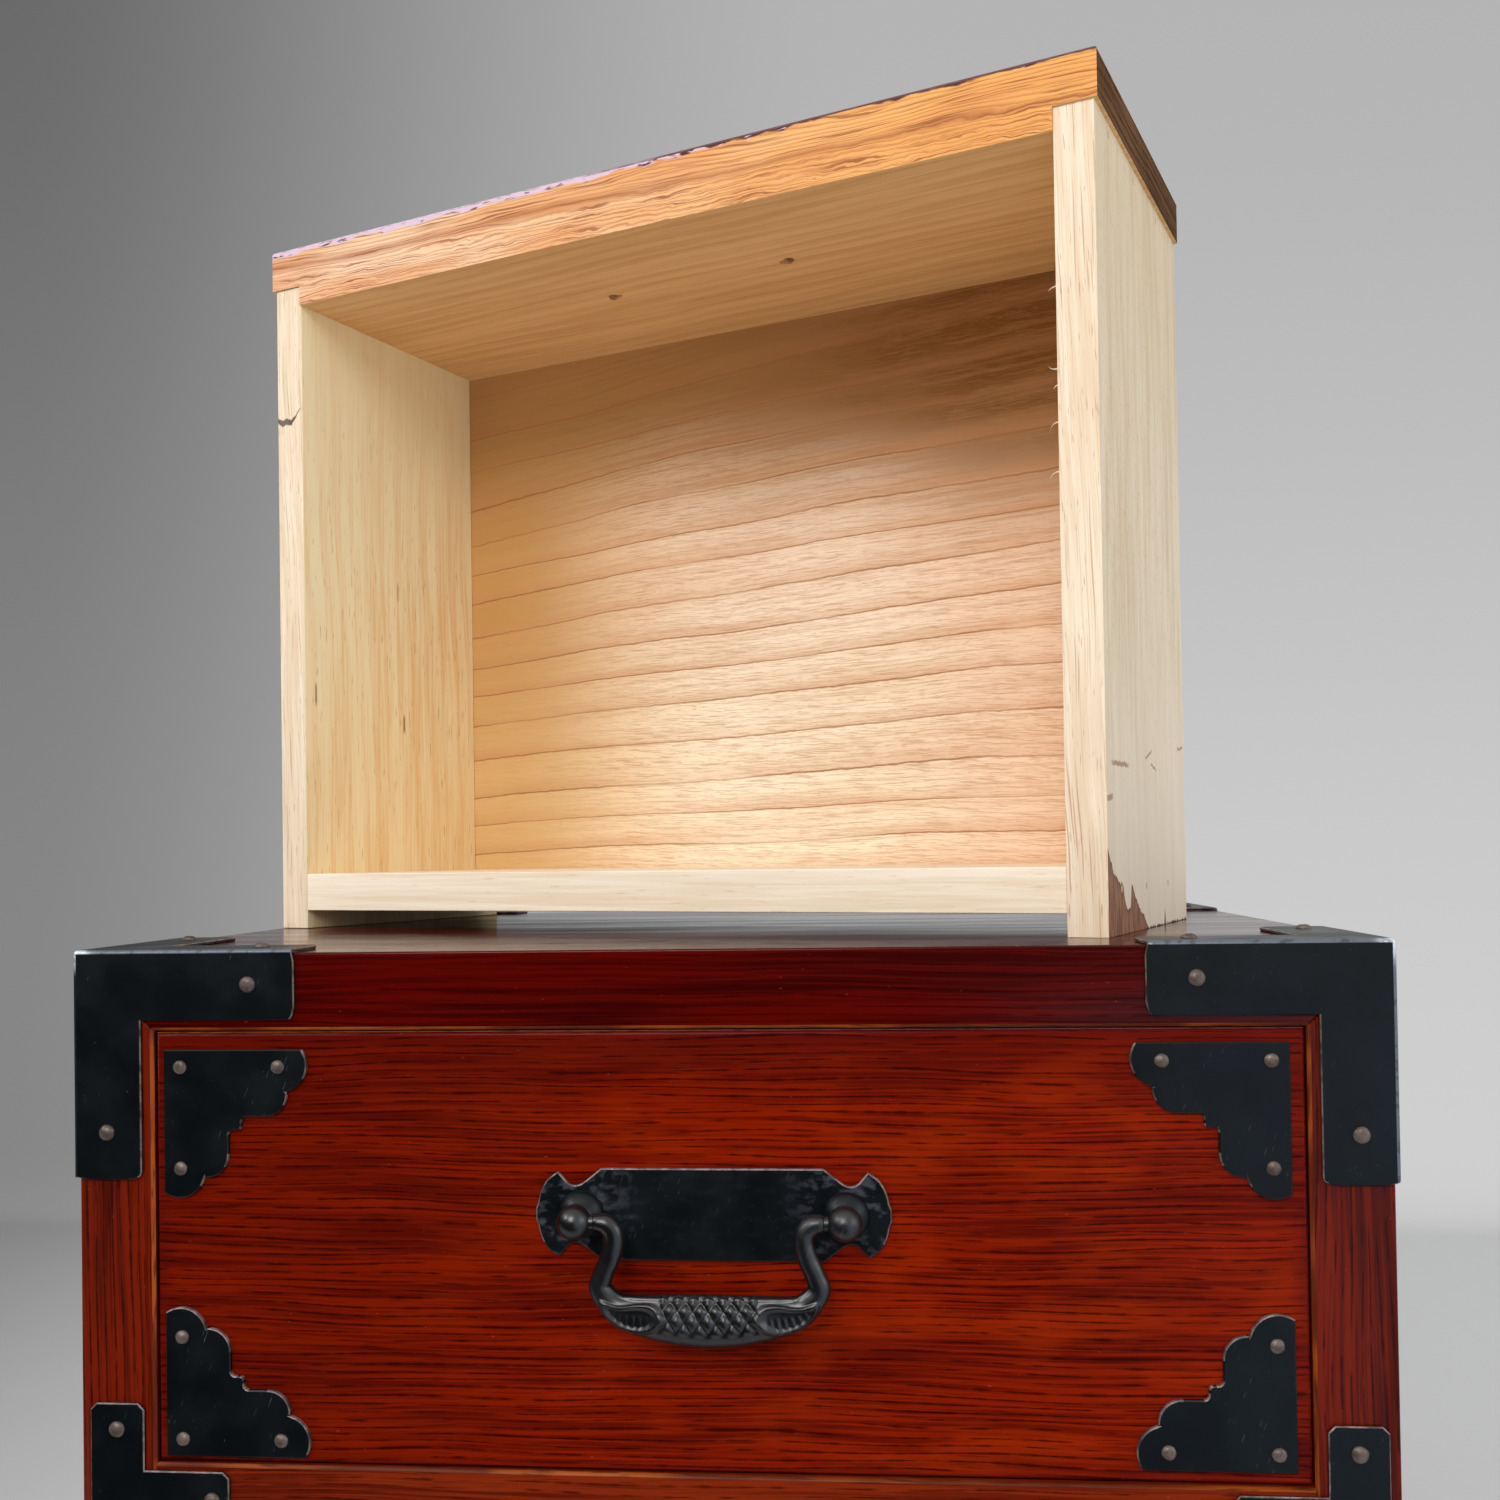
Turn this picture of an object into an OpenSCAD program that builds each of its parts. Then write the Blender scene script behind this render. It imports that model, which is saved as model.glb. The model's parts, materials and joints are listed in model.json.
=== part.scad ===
// Small three-drawer tansu chest with iron fittings. One drawer is lifted out and stands on
// its back end on the chest's top, turned a little, with its mouth to the front.
// Millimetres, +Z up, front face towards -Y, origin at the centre of the chest's underside.

/* [Case] */
// Width of the wooden case
case_w = 298; // [270:1:360]
// Depth of the wooden case
case_d = 228; // [225:1:300]
// Thickness of the side boards
side_t = 18; // [16:0.5:24]
// Thickness of the top board
top_t = 18; // [16:0.5:24]
// Thickness of the bottom board
bottom_t = 18; // [16:0.5:24]
// Thickness of the back board
back_t = 8; // [5:0.5:10]
// Depth of the groove that holds the back board
back_groove = 4; // [2:0.5:6]
// Gap between a closed drawer and the back board that stops it
stop_gap = 0.4; // [0.2:0.1:1]

/* [Rails and shelves] */
// Height of each rail between two drawers
rail_h = 16; // [14:0.5:22]
// Depth of each rail from front to back
rail_d = 24; // [20:1:40]
// Length of the rail's tenon in the side board
tenon_l = 5; // [3:0.5:8]
// Height of the rail's tenon
tenon_h = 10; // [6:0.5:12]
// Distance from the rail's front face to its tenon
tenon_set = 5; // [3:0.5:8]
// Depth of the rail's tenon from front to back
tenon_d = 14; // [8:1:15]
// Thickness of the shelf behind each rail
shelf_t = 7; // [5:0.5:10]
// Depth of the groove that holds each shelf end
shelf_groove = 4; // [2:0.5:6]

/* [Drawer front] */
// Height of a drawer front
front_h = 99.5; // [90:0.5:140]
// Full thickness of a drawer front
front_t = 18.5; // [14:0.5:20]
// Thickness of the front's rebated ends, which cover the side boards' ends
lip_t = 12.5; // [8:0.5:13]
// Gap round a closed drawer front
front_gap = 0.4; // [0.2:0.1:1]
// How far a closed drawer front lies behind the case's front edges
front_set = 0.5; // [0:0.1:2]
// Bevel round the face of a drawer front
front_bevel = 0.8; // [0.3:0.1:2]

/* [Drawer box] */
// Length of a drawer from its face to the ends of its sides
drawer_d = 213.5; // [190:0.5:214]
// Thickness of the drawer sides
dside_t = 10; // [8:0.5:14]
// How much lower the drawer sides are than the drawer front
dside_drop = 0.6; // [0.2:0.1:3]
// Running gap between a drawer side and the case
dside_gap = 1.4; // [0.5:0.1:3]
// Thickness of the drawer's back board
dback_t = 11.4; // [8:0.2:14]
// Distance from the back board to the ends of the sides
dback_set = 5.6; // [3:0.2:12]
// Thickness of the drawer's bottom panel
panel_t = 6; // [4:0.5:8]
// Height of the bottom panel above the sides' lower edges
panel_up = 6.5; // [4:0.5:10]
// Depth of the groove that holds the bottom panel
panel_groove = 4; // [2:0.5:6]
// Radius of the wooden pegs through the drawer sides
peg_r = 1; // [0.8:0.1:1.4]
// Length of a peg past the inner face of the drawer side into the back board
peg_bite = 14; // [8:1:20]
// Pegs in each corner of a drawer
peg_n = 3; // [2:1:4]
// Clearance round a peg
peg_fit = 0.05; // [0.02:0.01:0.1]

/* [Drawer stood on the top] */
// Turn of the lifted drawer, seen from above
stand_yaw = -21.27; // [-23:0.5:-19]
// Distance from the case's left edge to the drawer's near corner
stand_left = 0.2; // [0:0.1:2]
// Space between the drawer and the rear corner cap's arm
stand_clear = 0.4; // [0.2:0.1:3]
// Gap under the lifted drawer
stand_gap = 0.05; // [0.02:0.01:0.2]

/* [Corner caps] */
// Thickness of the caps' iron sheet
cap_t = 1; // [0.8:0.1:1.5]
// Length of each arm of a cap
cap_arm = 53.5; // [40:0.5:60]
// Width of each arm of a cap
cap_w = 16.5; // [13:0.5:16.5]
// How far the corners of an arm's end are drawn back
cap_end_back = 0.7; // [0.3:0.1:2]
// Length of an arm end's drawn back corners
cap_end_side = 3; // [1:0.5:5]
// Distance from an arm's end to its nail
cap_nail_in = 11; // [6:0.5:14]

/* [Rail plates] */
// Thickness of the rail plates
tee_t = 1; // [0.8:0.1:1.5]
// Width of a rail plate's arms
tee_w = 13; // [10:0.5:14]
// Distance from the cap's outer face to the rail plate
tee_inset = 3.5; // [1.5:0.1:4]
// Length of the upright arm above and below the level arm
tee_up = 15.5; // [12:0.5:24]
// Length of the level arm beside the upright arm
tee_reach = 20.3; // [14:0.1:30]
// Cut corners at the arm ends
tee_cut = 1.5; // [0.5:0.1:3]
// Distance from an upright arm's end to its nail
tee_nail_up = 6; // [4:0.5:8]
// Distance from the level arm's end to its nail
tee_nail_out = 4; // [3:0.5:8]

/* [Drawer corner plates] */
// Thickness of the drawer's iron plates
plate_t = 1; // [0.6:0.1:1.5]
// Leg of a scalloped corner plate
plate_leg = 34.3; // [28:0.1:40]
// Distance from the front's left end to the corner plates there
plate_in_left = 2.4; // [1:0.1:5]
// Distance from the front's right end to the corner plates there
plate_in_right = 3.4; // [1:0.1:5]
// Distance from the front's upper edge to the left corner plate
plate_top_left = 4; // [1.5:0.1:5]
// Distance from the front's upper edge to the right corner plate
plate_top_right = 3; // [1.5:0.1:5]
// Distance from the front's lower edge to the left corner plate
plate_low_left = 1.5; // [1.2:0.1:5]
// Distance from the front's lower edge to the right corner plate
plate_low_right = 3; // [1.2:0.1:5]
// Distance from a plate's straight edges to its nails
plate_nail_in = 4; // [3:0.1:6]
// Distance from a leg's end to its outer nail
plate_nail_end = 6.8; // [5:0.1:9]

/* [Nails] */
// Radius of the cap nails' domed heads
nail_r = 2.2; // [1.8:0.1:2.6]
// Radius of the drawer plate nails' domed heads
small_nail_r = 1.9; // [1.5:0.1:2.2]
// Height of the nail heads
nail_h = 1.2; // [0.8:0.1:1.6]
// Radius of the nails' shanks
shank_r = 0.7; // [0.5:0.05:0.8]
// Length of the nails' shanks
shank_l = 7; // [5:0.25:7]
// Clearance of a nail's hole in its plate
hole_fit = 0.1; // [0.05:0.05:0.3]

/* [Handle] */
// Distance between the two handle posts
post_pitch = 60; // [50:0.5:74]
// Distance from the front's upper edge to the posts
post_down = 41.4; // [36:0.1:50]
// Length of the handle plate
hplate_l = 80.5; // [72:0.5:96]
// Height of the handle plate
hplate_h = 20.6; // [16:0.2:26]
// Radius of the domed collar of a post
collar_r = 5.4; // [4.5:0.1:5.5]
// Height of the domed collar
collar_h = 3.4; // [2:0.1:4]
// Radius of the neck between collar and ball
neck_r = 2.6; // [1.8:0.1:3]
// Radius of a post's ball
ball_r = 3.9; // [3.4:0.1:4.2]
// Distance from the drawer's face to the ball's centre
ball_out = 8.5; // [7.8:0.1:11]
// Radius of the shank that passes through the drawer front
post_r = 1.5; // [1:0.1:2]
// Length of the shank's bent tip on the inner face
clench_l = 4; // [3:0.5:8]
// Width of the shank's bent tip
clench_w = 2.4; // [1.6:0.1:3]
// Thickness of the shank's bent tip
clench_t = 0.9; // [0.6:0.1:1.5]
// Radius of the bail's pins
pin_r = 1.6; // [1.2:0.1:1.8]
// Running clearance round a bail pin
pin_fit = 0.05; // [0.03:0.01:0.1]
// Distance that a pin reaches past the ball's centre
pin_past = 1.4; // [0.5:0.1:2]
// Gap between a pin's end and the end of its bore
pin_end_gap = 0.1; // [0.05:0.05:0.3]
// Gap between the ball and the bail's shoulder
shoulder_gap = 0.6; // [0.3:0.1:1.5]
// Half thickness of the bail's arms
arm_r = 2.3; // [1.9:0.1:2.4]
// Distance from the pins to the middle of the grip
bail_drop = 21.5; // [20:0.1:27]
// Distance inward from the bail's shoulder to the end of its grip
grip_in = 3.6; // [2:0.1:6]
// Height of the grip at its middle
grip_h = 12.2; // [8:0.1:14]
// Thickness of the grip at its middle
grip_t = 8; // [5:0.1:8.4]
// Lean of the lifted drawer's bail, at which it rests near the drawer's face
bail_lean = 10; // [5:0.5:10]

/* [Hidden] */
$fn = 48;
DRAWERS = ["top", "middle", "loose"];
DRAWER_PARTS = ["front", "side_left", "side_right", "back", "bottom", "pegs", "corner_plates",
    "plate_nails", "handle_plate", "handle_posts", "bail"];
CORNERS = ["front_top_left", "front_top_right", "front_bottom_left", "front_bottom_right",
    "rear_top_left", "rear_top_right", "rear_bottom_left", "rear_bottom_right"];
TEES = ["upper_left", "upper_right", "lower_left", "lower_right"];

LACQUER = [0.36, 0.06, 0.04];
FRONT_LACQUER = [0.58, 0.13, 0.05];
PALE_WOOD = [0.86, 0.74, 0.54];
TAN_WOOD = [0.82, 0.62, 0.40];
IRON = [0.10, 0.11, 0.12];
NAIL_IRON = [0.38, 0.30, 0.27];

// Case heights and widths
bay_h = front_h + 2 * front_gap;
bay_w = case_w - 2 * side_t;
case_h = bottom_t + top_t + len(DRAWERS) * bay_h + (len(DRAWERS) - 1) * rail_h;
face_y = -case_d / 2;
back_y = face_y + front_set + drawer_d + stop_gap;

// Drawer sizes
front_w = bay_w - 2 * front_gap;
box_w = bay_w - 2 * dside_gap;
inner_w = box_w - 2 * dside_t;
dside_h = front_h - dside_drop;
panel_top = panel_up + panel_t;
post_z = front_h - post_down;
overcut = 1;

// Front-to-back place of the lifted drawer's near corner
stand_y = case_d / 2 + cap_t - cap_w - stand_clear - dside_h * cos(stand_yaw);

function bay_floor(d) = bottom_t + (len(DRAWERS) - 1 - d) * (bay_h + rail_h);
function arc_points(c, r, a0, a1, n) =
    [for (i = [0 : n]) c + r * [cos(a0 + (a1 - a0) * i / n), sin(a0 + (a1 - a0) * i / n)]];
function reversed(list) = [for (i = [len(list) - 1 : -1 : 0]) list[i]];

// Box given by its lowest and highest corners
module span(low, high) {
    translate(low)
        cube(high - low);
}

// Mirror across a plane, or not
module flip(on, axis) {
    if (on)
        mirror(axis)
            children();
    else
        children();
}

// Case boards

// The four frame boards meet in mitres; this is a side board standing at the left
module side_outline() {
    polygon([
        [-case_w / 2, 0],
        [-bay_w / 2, bottom_t],
        [-bay_w / 2, case_h - top_t],
        [-case_w / 2, case_h]]);
}

module case_side(right) {
    color(LACQUER)
        difference() {
            flip(right, [1, 0, 0])
                rotate([90, 0, 0])
                    linear_extrude(case_d, center = true)
                        side_outline();
            back_solid();
            for (d = [0 : len(DRAWERS) - 2]) {
                rail_tenons(d);
                shelf_solid(d);
            }
            cap_recesses();
        }
}

// Top or bottom board: a mitred strip whose outer face is at height z_out
module mitred_board(z_out, z_in) {
    rotate([90, 0, 0])
        linear_extrude(case_d, center = true)
            polygon([
                [-case_w / 2, z_out],
                [case_w / 2, z_out],
                [bay_w / 2, z_in],
                [-bay_w / 2, z_in]]);
}

module case_top() {
    color(LACQUER)
        difference() {
            mitred_board(case_h, case_h - top_t);
            back_solid();
        }
}

module case_bottom() {
    color(LACQUER)
        difference() {
            mitred_board(0, bottom_t);
            back_solid();
            cap_recesses();
        }
}

module back_solid() {
    span(
        [-bay_w / 2 - back_groove, back_y, bottom_t - back_groove],
        [bay_w / 2 + back_groove, back_y + back_t, case_h - top_t + back_groove]);
}

module case_back() {
    color(PALE_WOOD)
        back_solid();
}

module rail_tenons(d) {
    low = bay_floor(d) - rail_h / 2 - tenon_h / 2;
    span(
        [-bay_w / 2 - tenon_l, face_y + tenon_set, low],
        [bay_w / 2 + tenon_l, face_y + tenon_set + tenon_d, low + tenon_h]);
}

// Rail under the drawer d, with a tenon at each end
module rail(d) {
    color(LACQUER)
        union() {
            span(
                [-bay_w / 2, face_y, bay_floor(d) - rail_h],
                [bay_w / 2, face_y + rail_d, bay_floor(d)]);
            rail_tenons(d);
        }
}

module shelf_solid(d) {
    span(
        [-bay_w / 2 - shelf_groove, face_y + rail_d, bay_floor(d) - shelf_t],
        [bay_w / 2 + shelf_groove, back_y, bay_floor(d)]);
}

module shelf(d) {
    color(PALE_WOOD)
        shelf_solid(d);
}

// Corner caps

// L outline of one face of a cap, with its corner at the origin
module cap_outline() {
    polygon([
        [0, 0],
        [cap_arm - cap_end_back, 0],
        [cap_arm, cap_end_side],
        [cap_arm, cap_w - cap_end_side],
        [cap_arm - cap_end_back, cap_w],
        [cap_w, cap_w],
        [cap_w, cap_arm - cap_end_back],
        [cap_w - cap_end_side, cap_arm],
        [cap_end_side, cap_arm],
        [0, cap_arm - cap_end_back]]);
}

// One face of a cap, lying in the XY plane
module cap_face(holes) {
    linear_extrude(cap_t)
        difference() {
            cap_outline();
            if (holes)
                cap_nail_places()
                    circle(shank_r + hole_fit);
        }
}

// Puts its children at the two nail places of a cap's face
module cap_nail_places() {
    translate([cap_arm - cap_nail_in, cap_w / 2])
        children();
    translate([cap_w / 2, cap_arm - cap_nail_in])
        children();
}

// Turns the XY plane, with its outer side down, onto a cap's three faces:
// 0 the face under +Z, 1 the face in front of +Y, 2 the face beside +X
module onto_face(f) {
    turns = [[0, 0, 0], [90, 0, 90], [-90, -90, 0]];
    rotate(turns[f])
        children();
}

// Puts its children at a corner of the chest, with the arms along +X, +Y and +Z
module at_corner(c) {
    right = c % 2 == 1;
    top = c % 4 < 2;
    rear = c >= 4;
    translate([
            (right ? 1 : -1) * (case_w / 2 + cap_t),
            (rear ? 1 : -1) * (case_d / 2 + cap_t),
            top ? case_h + cap_t : 0])
        flip(right, [1, 0, 0])
            flip(rear, [0, 1, 0])
                flip(top, [0, 0, 1])
                    children();
}

module cap(c) {
    top = c % 4 < 2;
    color(IRON)
        at_corner(c)
            union() {
                cap_face(top);
                mirror([1, -1, 0])
                    rotate([90, 0, 90])
                        cap_face(true);
                rotate([90, 0, 90])
                    cap_face(true);
            }
}

// The lower caps' under faces lie flush in the underside of the case
module cap_recesses() {
    for (c = [0 : len(CORNERS) - 1])
        if (c % 4 >= 2)
            at_corner(c)
                cap_face(false);
}

// Rail plates

module tee_outline() {
    polygon([
        [tee_cut, -tee_w / 2 - tee_up],
        [tee_w - tee_cut, -tee_w / 2 - tee_up],
        [tee_w, -tee_w / 2 - tee_up + tee_cut],
        [tee_w, -tee_w / 2],
        [tee_w + tee_reach - tee_cut, -tee_w / 2],
        [tee_w + tee_reach, -tee_w / 2 + tee_cut],
        [tee_w + tee_reach, tee_w / 2 - tee_cut],
        [tee_w + tee_reach - tee_cut, tee_w / 2],
        [tee_w, tee_w / 2],
        [tee_w, tee_w / 2 + tee_up - tee_cut],
        [tee_w - tee_cut, tee_w / 2 + tee_up],
        [tee_cut, tee_w / 2 + tee_up],
        [0, tee_w / 2 + tee_up - tee_cut],
        [0, -tee_w / 2 - tee_up + tee_cut]]);
}

module tee_nail_places() {
    for (s = [-1, 1])
        translate([tee_w / 2, s * (tee_w / 2 + tee_up - tee_nail_up)])
            children();
    translate([tee_w + tee_reach - tee_nail_out, 0])
        children();
}

// Puts its children on the case's front face, in the plate's own plane, outer side towards +Z
module at_tee(t) {
    right = t % 2 == 1;
    d = t < 2 ? 0 : 1;
    flip(right, [1, 0, 0])
        translate([-case_w / 2 - cap_t + tee_inset, face_y, bay_floor(d) - rail_h / 2])
            rotate([90, 0, 0])
                children();
}

module rail_plate(t) {
    color(IRON)
        at_tee(t)
            linear_extrude(tee_t)
                difference() {
                    tee_outline();
                    tee_nail_places()
                        circle(shank_r + hole_fit);
                }
}

// Nails

// A nail whose domed head sits on the plane z = 0 and whose shank goes down
module nail(r) {
    dome_r = (r * r + nail_h * nail_h) / (2 * nail_h);
    point_l = 2 * shank_r;
    union() {
        intersection() {
            translate([0, 0, nail_h - dome_r])
                sphere(dome_r);
            cylinder(h = nail_h, r = r);
        }
        translate([0, 0, point_l - shank_l])
            cylinder(h = shank_l - point_l, r = shank_r);
        translate([0, 0, -shank_l])
            cylinder(h = point_l, r1 = shank_r / 4, r2 = shank_r);
    }
}

module case_nails() {
    color(NAIL_IRON) {
        for (c = [0 : len(CORNERS) - 1])
            at_corner(c) {
                if (c % 4 < 2)
                    cap_nail_places()
                        mirror([0, 0, 1])
                            nail(nail_r);
                mirror([1, -1, 0])
                    rotate([90, 0, 90])
                        cap_nail_places()
                            mirror([0, 0, 1])
                                nail(nail_r);
                rotate([90, 0, 90])
                    cap_nail_places()
                        mirror([0, 0, 1])
                            nail(nail_r);
            }
        for (t = [0 : len(TEES) - 1])
            at_tee(t)
                translate([0, 0, tee_t])
                    tee_nail_places()
                        nail(nail_r);
    }
}

// Drawers, each drawn in its own frame: X centred, y = 0 at its face, z = 0 at its lower edge

// Puts a drawer in its bay, or stands the lifted one on its back end on the case's top
module place_drawer(d) {
    if (d < len(DRAWERS) - 1)
        translate([0, face_y + front_set, bay_floor(d) + front_gap])
            children();
    else
        translate([-case_w / 2 + stand_left, stand_y, case_h + stand_gap + drawer_d])
            rotate([-90, 0, 180 + stand_yaw])
                translate([-box_w / 2, 0, -dside_h])
                    children();
}

module front_blank() {
    intersection() {
        linear_extrude(front_h)
            polygon([
                [-front_w / 2 + front_bevel, 0],
                [front_w / 2 - front_bevel, 0],
                [front_w / 2, front_bevel],
                [front_w / 2, lip_t],
                [inner_w / 2, lip_t],
                [inner_w / 2, front_t],
                [-inner_w / 2, front_t],
                [-inner_w / 2, lip_t],
                [-front_w / 2, lip_t],
                [-front_w / 2, front_bevel]]);
        rotate([90, 0, 90])
            linear_extrude(front_w, center = true)
                polygon([
                    [front_bevel, 0],
                    [front_t, 0],
                    [front_t, front_h],
                    [front_bevel, front_h],
                    [0, front_h - front_bevel],
                    [0, front_bevel]]);
    }
}

module drawer_front(d) {
    color(FRONT_LACQUER)
        place_drawer(d)
            difference() {
                front_blank();
                panel_solid();
                post_places()
                    translate([0, 0, -front_t - overcut])
                        cylinder(h = front_t + 2 * overcut, r = post_r + hole_fit);
                peg_places()
                    peg(peg_fit);
            }
}

module drawer_side(d, right) {
    color(PALE_WOOD)
        place_drawer(d)
            difference() {
                flip(right, [1, 0, 0])
                    span([-box_w / 2, lip_t, 0], [-inner_w / 2, drawer_d, dside_h]);
                panel_solid();
                peg_places()
                    peg(peg_fit);
            }
}

module drawer_back(d) {
    color(PALE_WOOD)
        place_drawer(d)
            difference() {
                span(
                    [-inner_w / 2, drawer_d - dback_set - dback_t, panel_top],
                    [inner_w / 2, drawer_d - dback_set, dside_h]);
                peg_places()
                    peg(peg_fit);
            }
}

// Bottom panel, held in grooves in the front and the sides, with the back board on top of it
module panel_solid() {
    span(
        [-inner_w / 2 - panel_groove, front_t - panel_groove, panel_up],
        [inner_w / 2 + panel_groove, drawer_d - dback_set, panel_top]);
}

module drawer_bottom(d) {
    color(TAN_WOOD)
        place_drawer(d)
            panel_solid();
}

// Peg places at the drawer's four upright corners, at even heights above the bottom panel
module peg_places() {
    step = (dside_h - panel_top) / peg_n;
    peg_rows = [(lip_t + front_t) / 2, drawer_d - dback_set - dback_t / 2];
    for (right = [false, true])
        for (y = peg_rows)
            for (k = [0 : peg_n - 1])
                flip(right, [1, 0, 0])
                    translate([-box_w / 2, y, panel_top + (k + 0.5) * step])
                        rotate([0, 90, 0])
                            children();
}

module peg(fit) {
    translate([0, 0, -fit])
        cylinder(h = dside_t + peg_bite + 2 * fit, r = peg_r + fit, $fn = 24);
}

module drawer_pegs(d) {
    color(TAN_WOOD)
        place_drawer(d)
            peg_places()
                peg(0);
}

// Drawer corner plates

// Centre and radius of the two lobes at the end of a leg, the outer one first
PLATE_LOBES = [[27.9, 3.6, 6.1], [24.1, 10.1, 5.2]];
// Angles at which each lobe's arc begins and ends
LOBE_ANGLES = [[-36, 81], [-4, 92]];
// Straight steps in each lobe's arc
LOBE_STEPS = [6, 5];
// Notch beside the second lobe, and the point on the diagonal
PLATE_TIP = [[19.4, 15.2], [18.6, 15.8], [18.4, 17], [18.2, 18.2]];
drawn_leg = PLATE_LOBES[0].x + PLATE_LOBES[0].z;

// Scalloped outline between the plate's two legs: lobes, notch and point, then the same
// mirrored over the diagonal, all scaled from the drawn leg to the real one
function plate_half() = concat(
    [for (k = [0 : len(PLATE_LOBES) - 1])
        for (p = arc_points(
            [PLATE_LOBES[k].x, PLATE_LOBES[k].y],
            PLATE_LOBES[k].z,
            LOBE_ANGLES[k].x,
            LOBE_ANGLES[k].y,
            LOBE_STEPS[k])) p],
    PLATE_TIP);
function plate_points() = concat(
    [[0, 0]],
    plate_half(),
    [for (p = reversed(plate_half())) if (p.x != p.y) [p.y, p.x]]) * (plate_leg / drawn_leg);

module plate_nail_places() {
    translate([plate_nail_in, plate_nail_in])
        children();
    translate([plate_leg - plate_nail_end, plate_nail_in])
        children();
    translate([plate_nail_in, plate_leg - plate_nail_end])
        children();
}

// Height of a corner plate's straight level edge
function plate_height(right, top) =
    top ? front_h - (right ? plate_top_right : plate_top_left)
        : (right ? plate_low_right : plate_low_left);

// Puts its children at the front's four corners, in the plane of its face, outer side +Z
module plate_places() {
    for (right = [false, true])
        for (top = [false, true])
            flip(right, [1, 0, 0])
                translate([
                        -front_w / 2 + (right ? plate_in_right : plate_in_left),
                        0,
                        plate_height(right, top)])
                    rotate([90, 0, 0])
                        flip(top, [0, 1, 0])
                            children();
}

module corner_plates(d) {
    color(IRON)
        place_drawer(d)
            plate_places()
                linear_extrude(plate_t)
                    difference() {
                        polygon(plate_points());
                        plate_nail_places()
                            circle(shank_r + hole_fit);
                    }
}

module plate_nails(d) {
    color(NAIL_IRON)
        place_drawer(d)
            plate_places()
                translate([0, 0, plate_t])
                    plate_nail_places()
                        nail(small_nail_r);
}

// Handle

// Puts its children at the two posts, with +Z out of the drawer's face
module post_places() {
    for (right = [false, true])
        flip(right, [1, 0, 0])
            translate([-post_pitch / 2, 0, post_z])
                rotate([90, 0, 0])
                    children();
}

// One quarter of the handle plate's outline, from the flat edge over a scoop and a horn to the
// middle of the end; its first point gives the drawn height and its last the drawn length
HPLATE_QUARTER = [
    [24.8, 10.3], [28.4, 7.4], [29.8, 6.6], [31.2, 6.5], [32.5, 7.2], [34.5, 9.5],
    [35.6, 8.8], [37.1, 7.6], [38.4, 5.1], [39.0, 2.6], [39.5, 0]];
drawn_half_l = HPLATE_QUARTER[len(HPLATE_QUARTER) - 1].x;
drawn_half_h = HPLATE_QUARTER[0].y;
function hplate_quarter() = [for (p = HPLATE_QUARTER)
    [p.x * hplate_l / 2 / drawn_half_l, p.y * hplate_h / 2 / drawn_half_h]];
function hplate_half() = concat(
    hplate_quarter(),
    [for (p = reversed(hplate_quarter())) if (p.y != 0) [p.x, -p.y]]);
function hplate_points() = concat(
    hplate_half(),
    [for (p = reversed(hplate_half())) [-p.x, p.y]]);

module handle_plate(d) {
    color(IRON)
        place_drawer(d)
            difference() {
                translate([0, 0, post_z])
                    rotate([90, 0, 0])
                        linear_extrude(plate_t)
                            polygon(hplate_points());
                post_places()
                    translate([0, 0, -overcut])
                        cylinder(h = plate_t + 2 * overcut, r = post_r + hole_fit);
            }
}

// A post: domed collar, neck, drilled ball, and a shank bent over inside the drawer
module post() {
    dome_r = (collar_r * collar_r + collar_h * collar_h) / (2 * collar_h);
    difference() {
        union() {
            intersection() {
                translate([0, 0, plate_t + collar_h - dome_r])
                    sphere(dome_r);
                translate([0, 0, plate_t])
                    cylinder(h = collar_h, r = collar_r);
            }
            translate([0, 0, plate_t])
                cylinder(h = ball_out - plate_t, r = neck_r);
            translate([0, 0, ball_out])
                sphere(ball_r);
            translate([0, 0, -front_t - clench_t])
                cylinder(h = front_t + clench_t + plate_t + collar_h / 2, r = post_r);
            span([0, -clench_w / 2, -front_t - clench_t], [clench_l, clench_w / 2, -front_t]);
        }
        translate([-pin_past - pin_end_gap, 0, ball_out])
            rotate([0, 90, 0])
                cylinder(h = ball_r + pin_past + overcut, r = pin_r + pin_fit);
    }
}

module handle_posts(d) {
    color(IRON)
        place_drawer(d)
            post_places()
                post();
}

// Right half of the bail from its shoulder to the middle of the grip. Each row holds the
// distance inward from the post, the share of the grip's half length, the share of the drop,
// and how far the section has grown from arm to grip.
ARM_ROWS = [
    [0, 0, 0, -0.08], [1.2, 0, 0, -0.06], [2.8, 0, 0.02, 0], [4.2, 0, 0.09, 0],
    [4.5, 0, 0.2, 0], [3.6, 0, 0.36, 0], [2, 0, 0.53, 0.02], [1.3, 0, 0.67, 0.08]];
GRIP_ROWS = [
    [1, 0.82, 0.23], [0.85, 0.91, 0.47], [0.59, 0.96, 0.73], [0.27, 0.99, 0.93], [0, 1, 1]];
shoulder_x = post_pitch / 2 - ball_r - shoulder_gap;
grip_half = shoulder_x - grip_in;
function bail_half() = concat(
    [for (r = ARM_ROWS) [shoulder_x - r[0], -bail_drop * r[2], r[3]]],
    [for (r = GRIP_ROWS) [grip_half * r[0], -bail_drop * r[1], r[2]]]);
function bail_rows() = concat(
    bail_half(),
    [for (r = reversed(bail_half())) if (r[0] != 0) [-r[0], r[1], r[2]]]);

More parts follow.
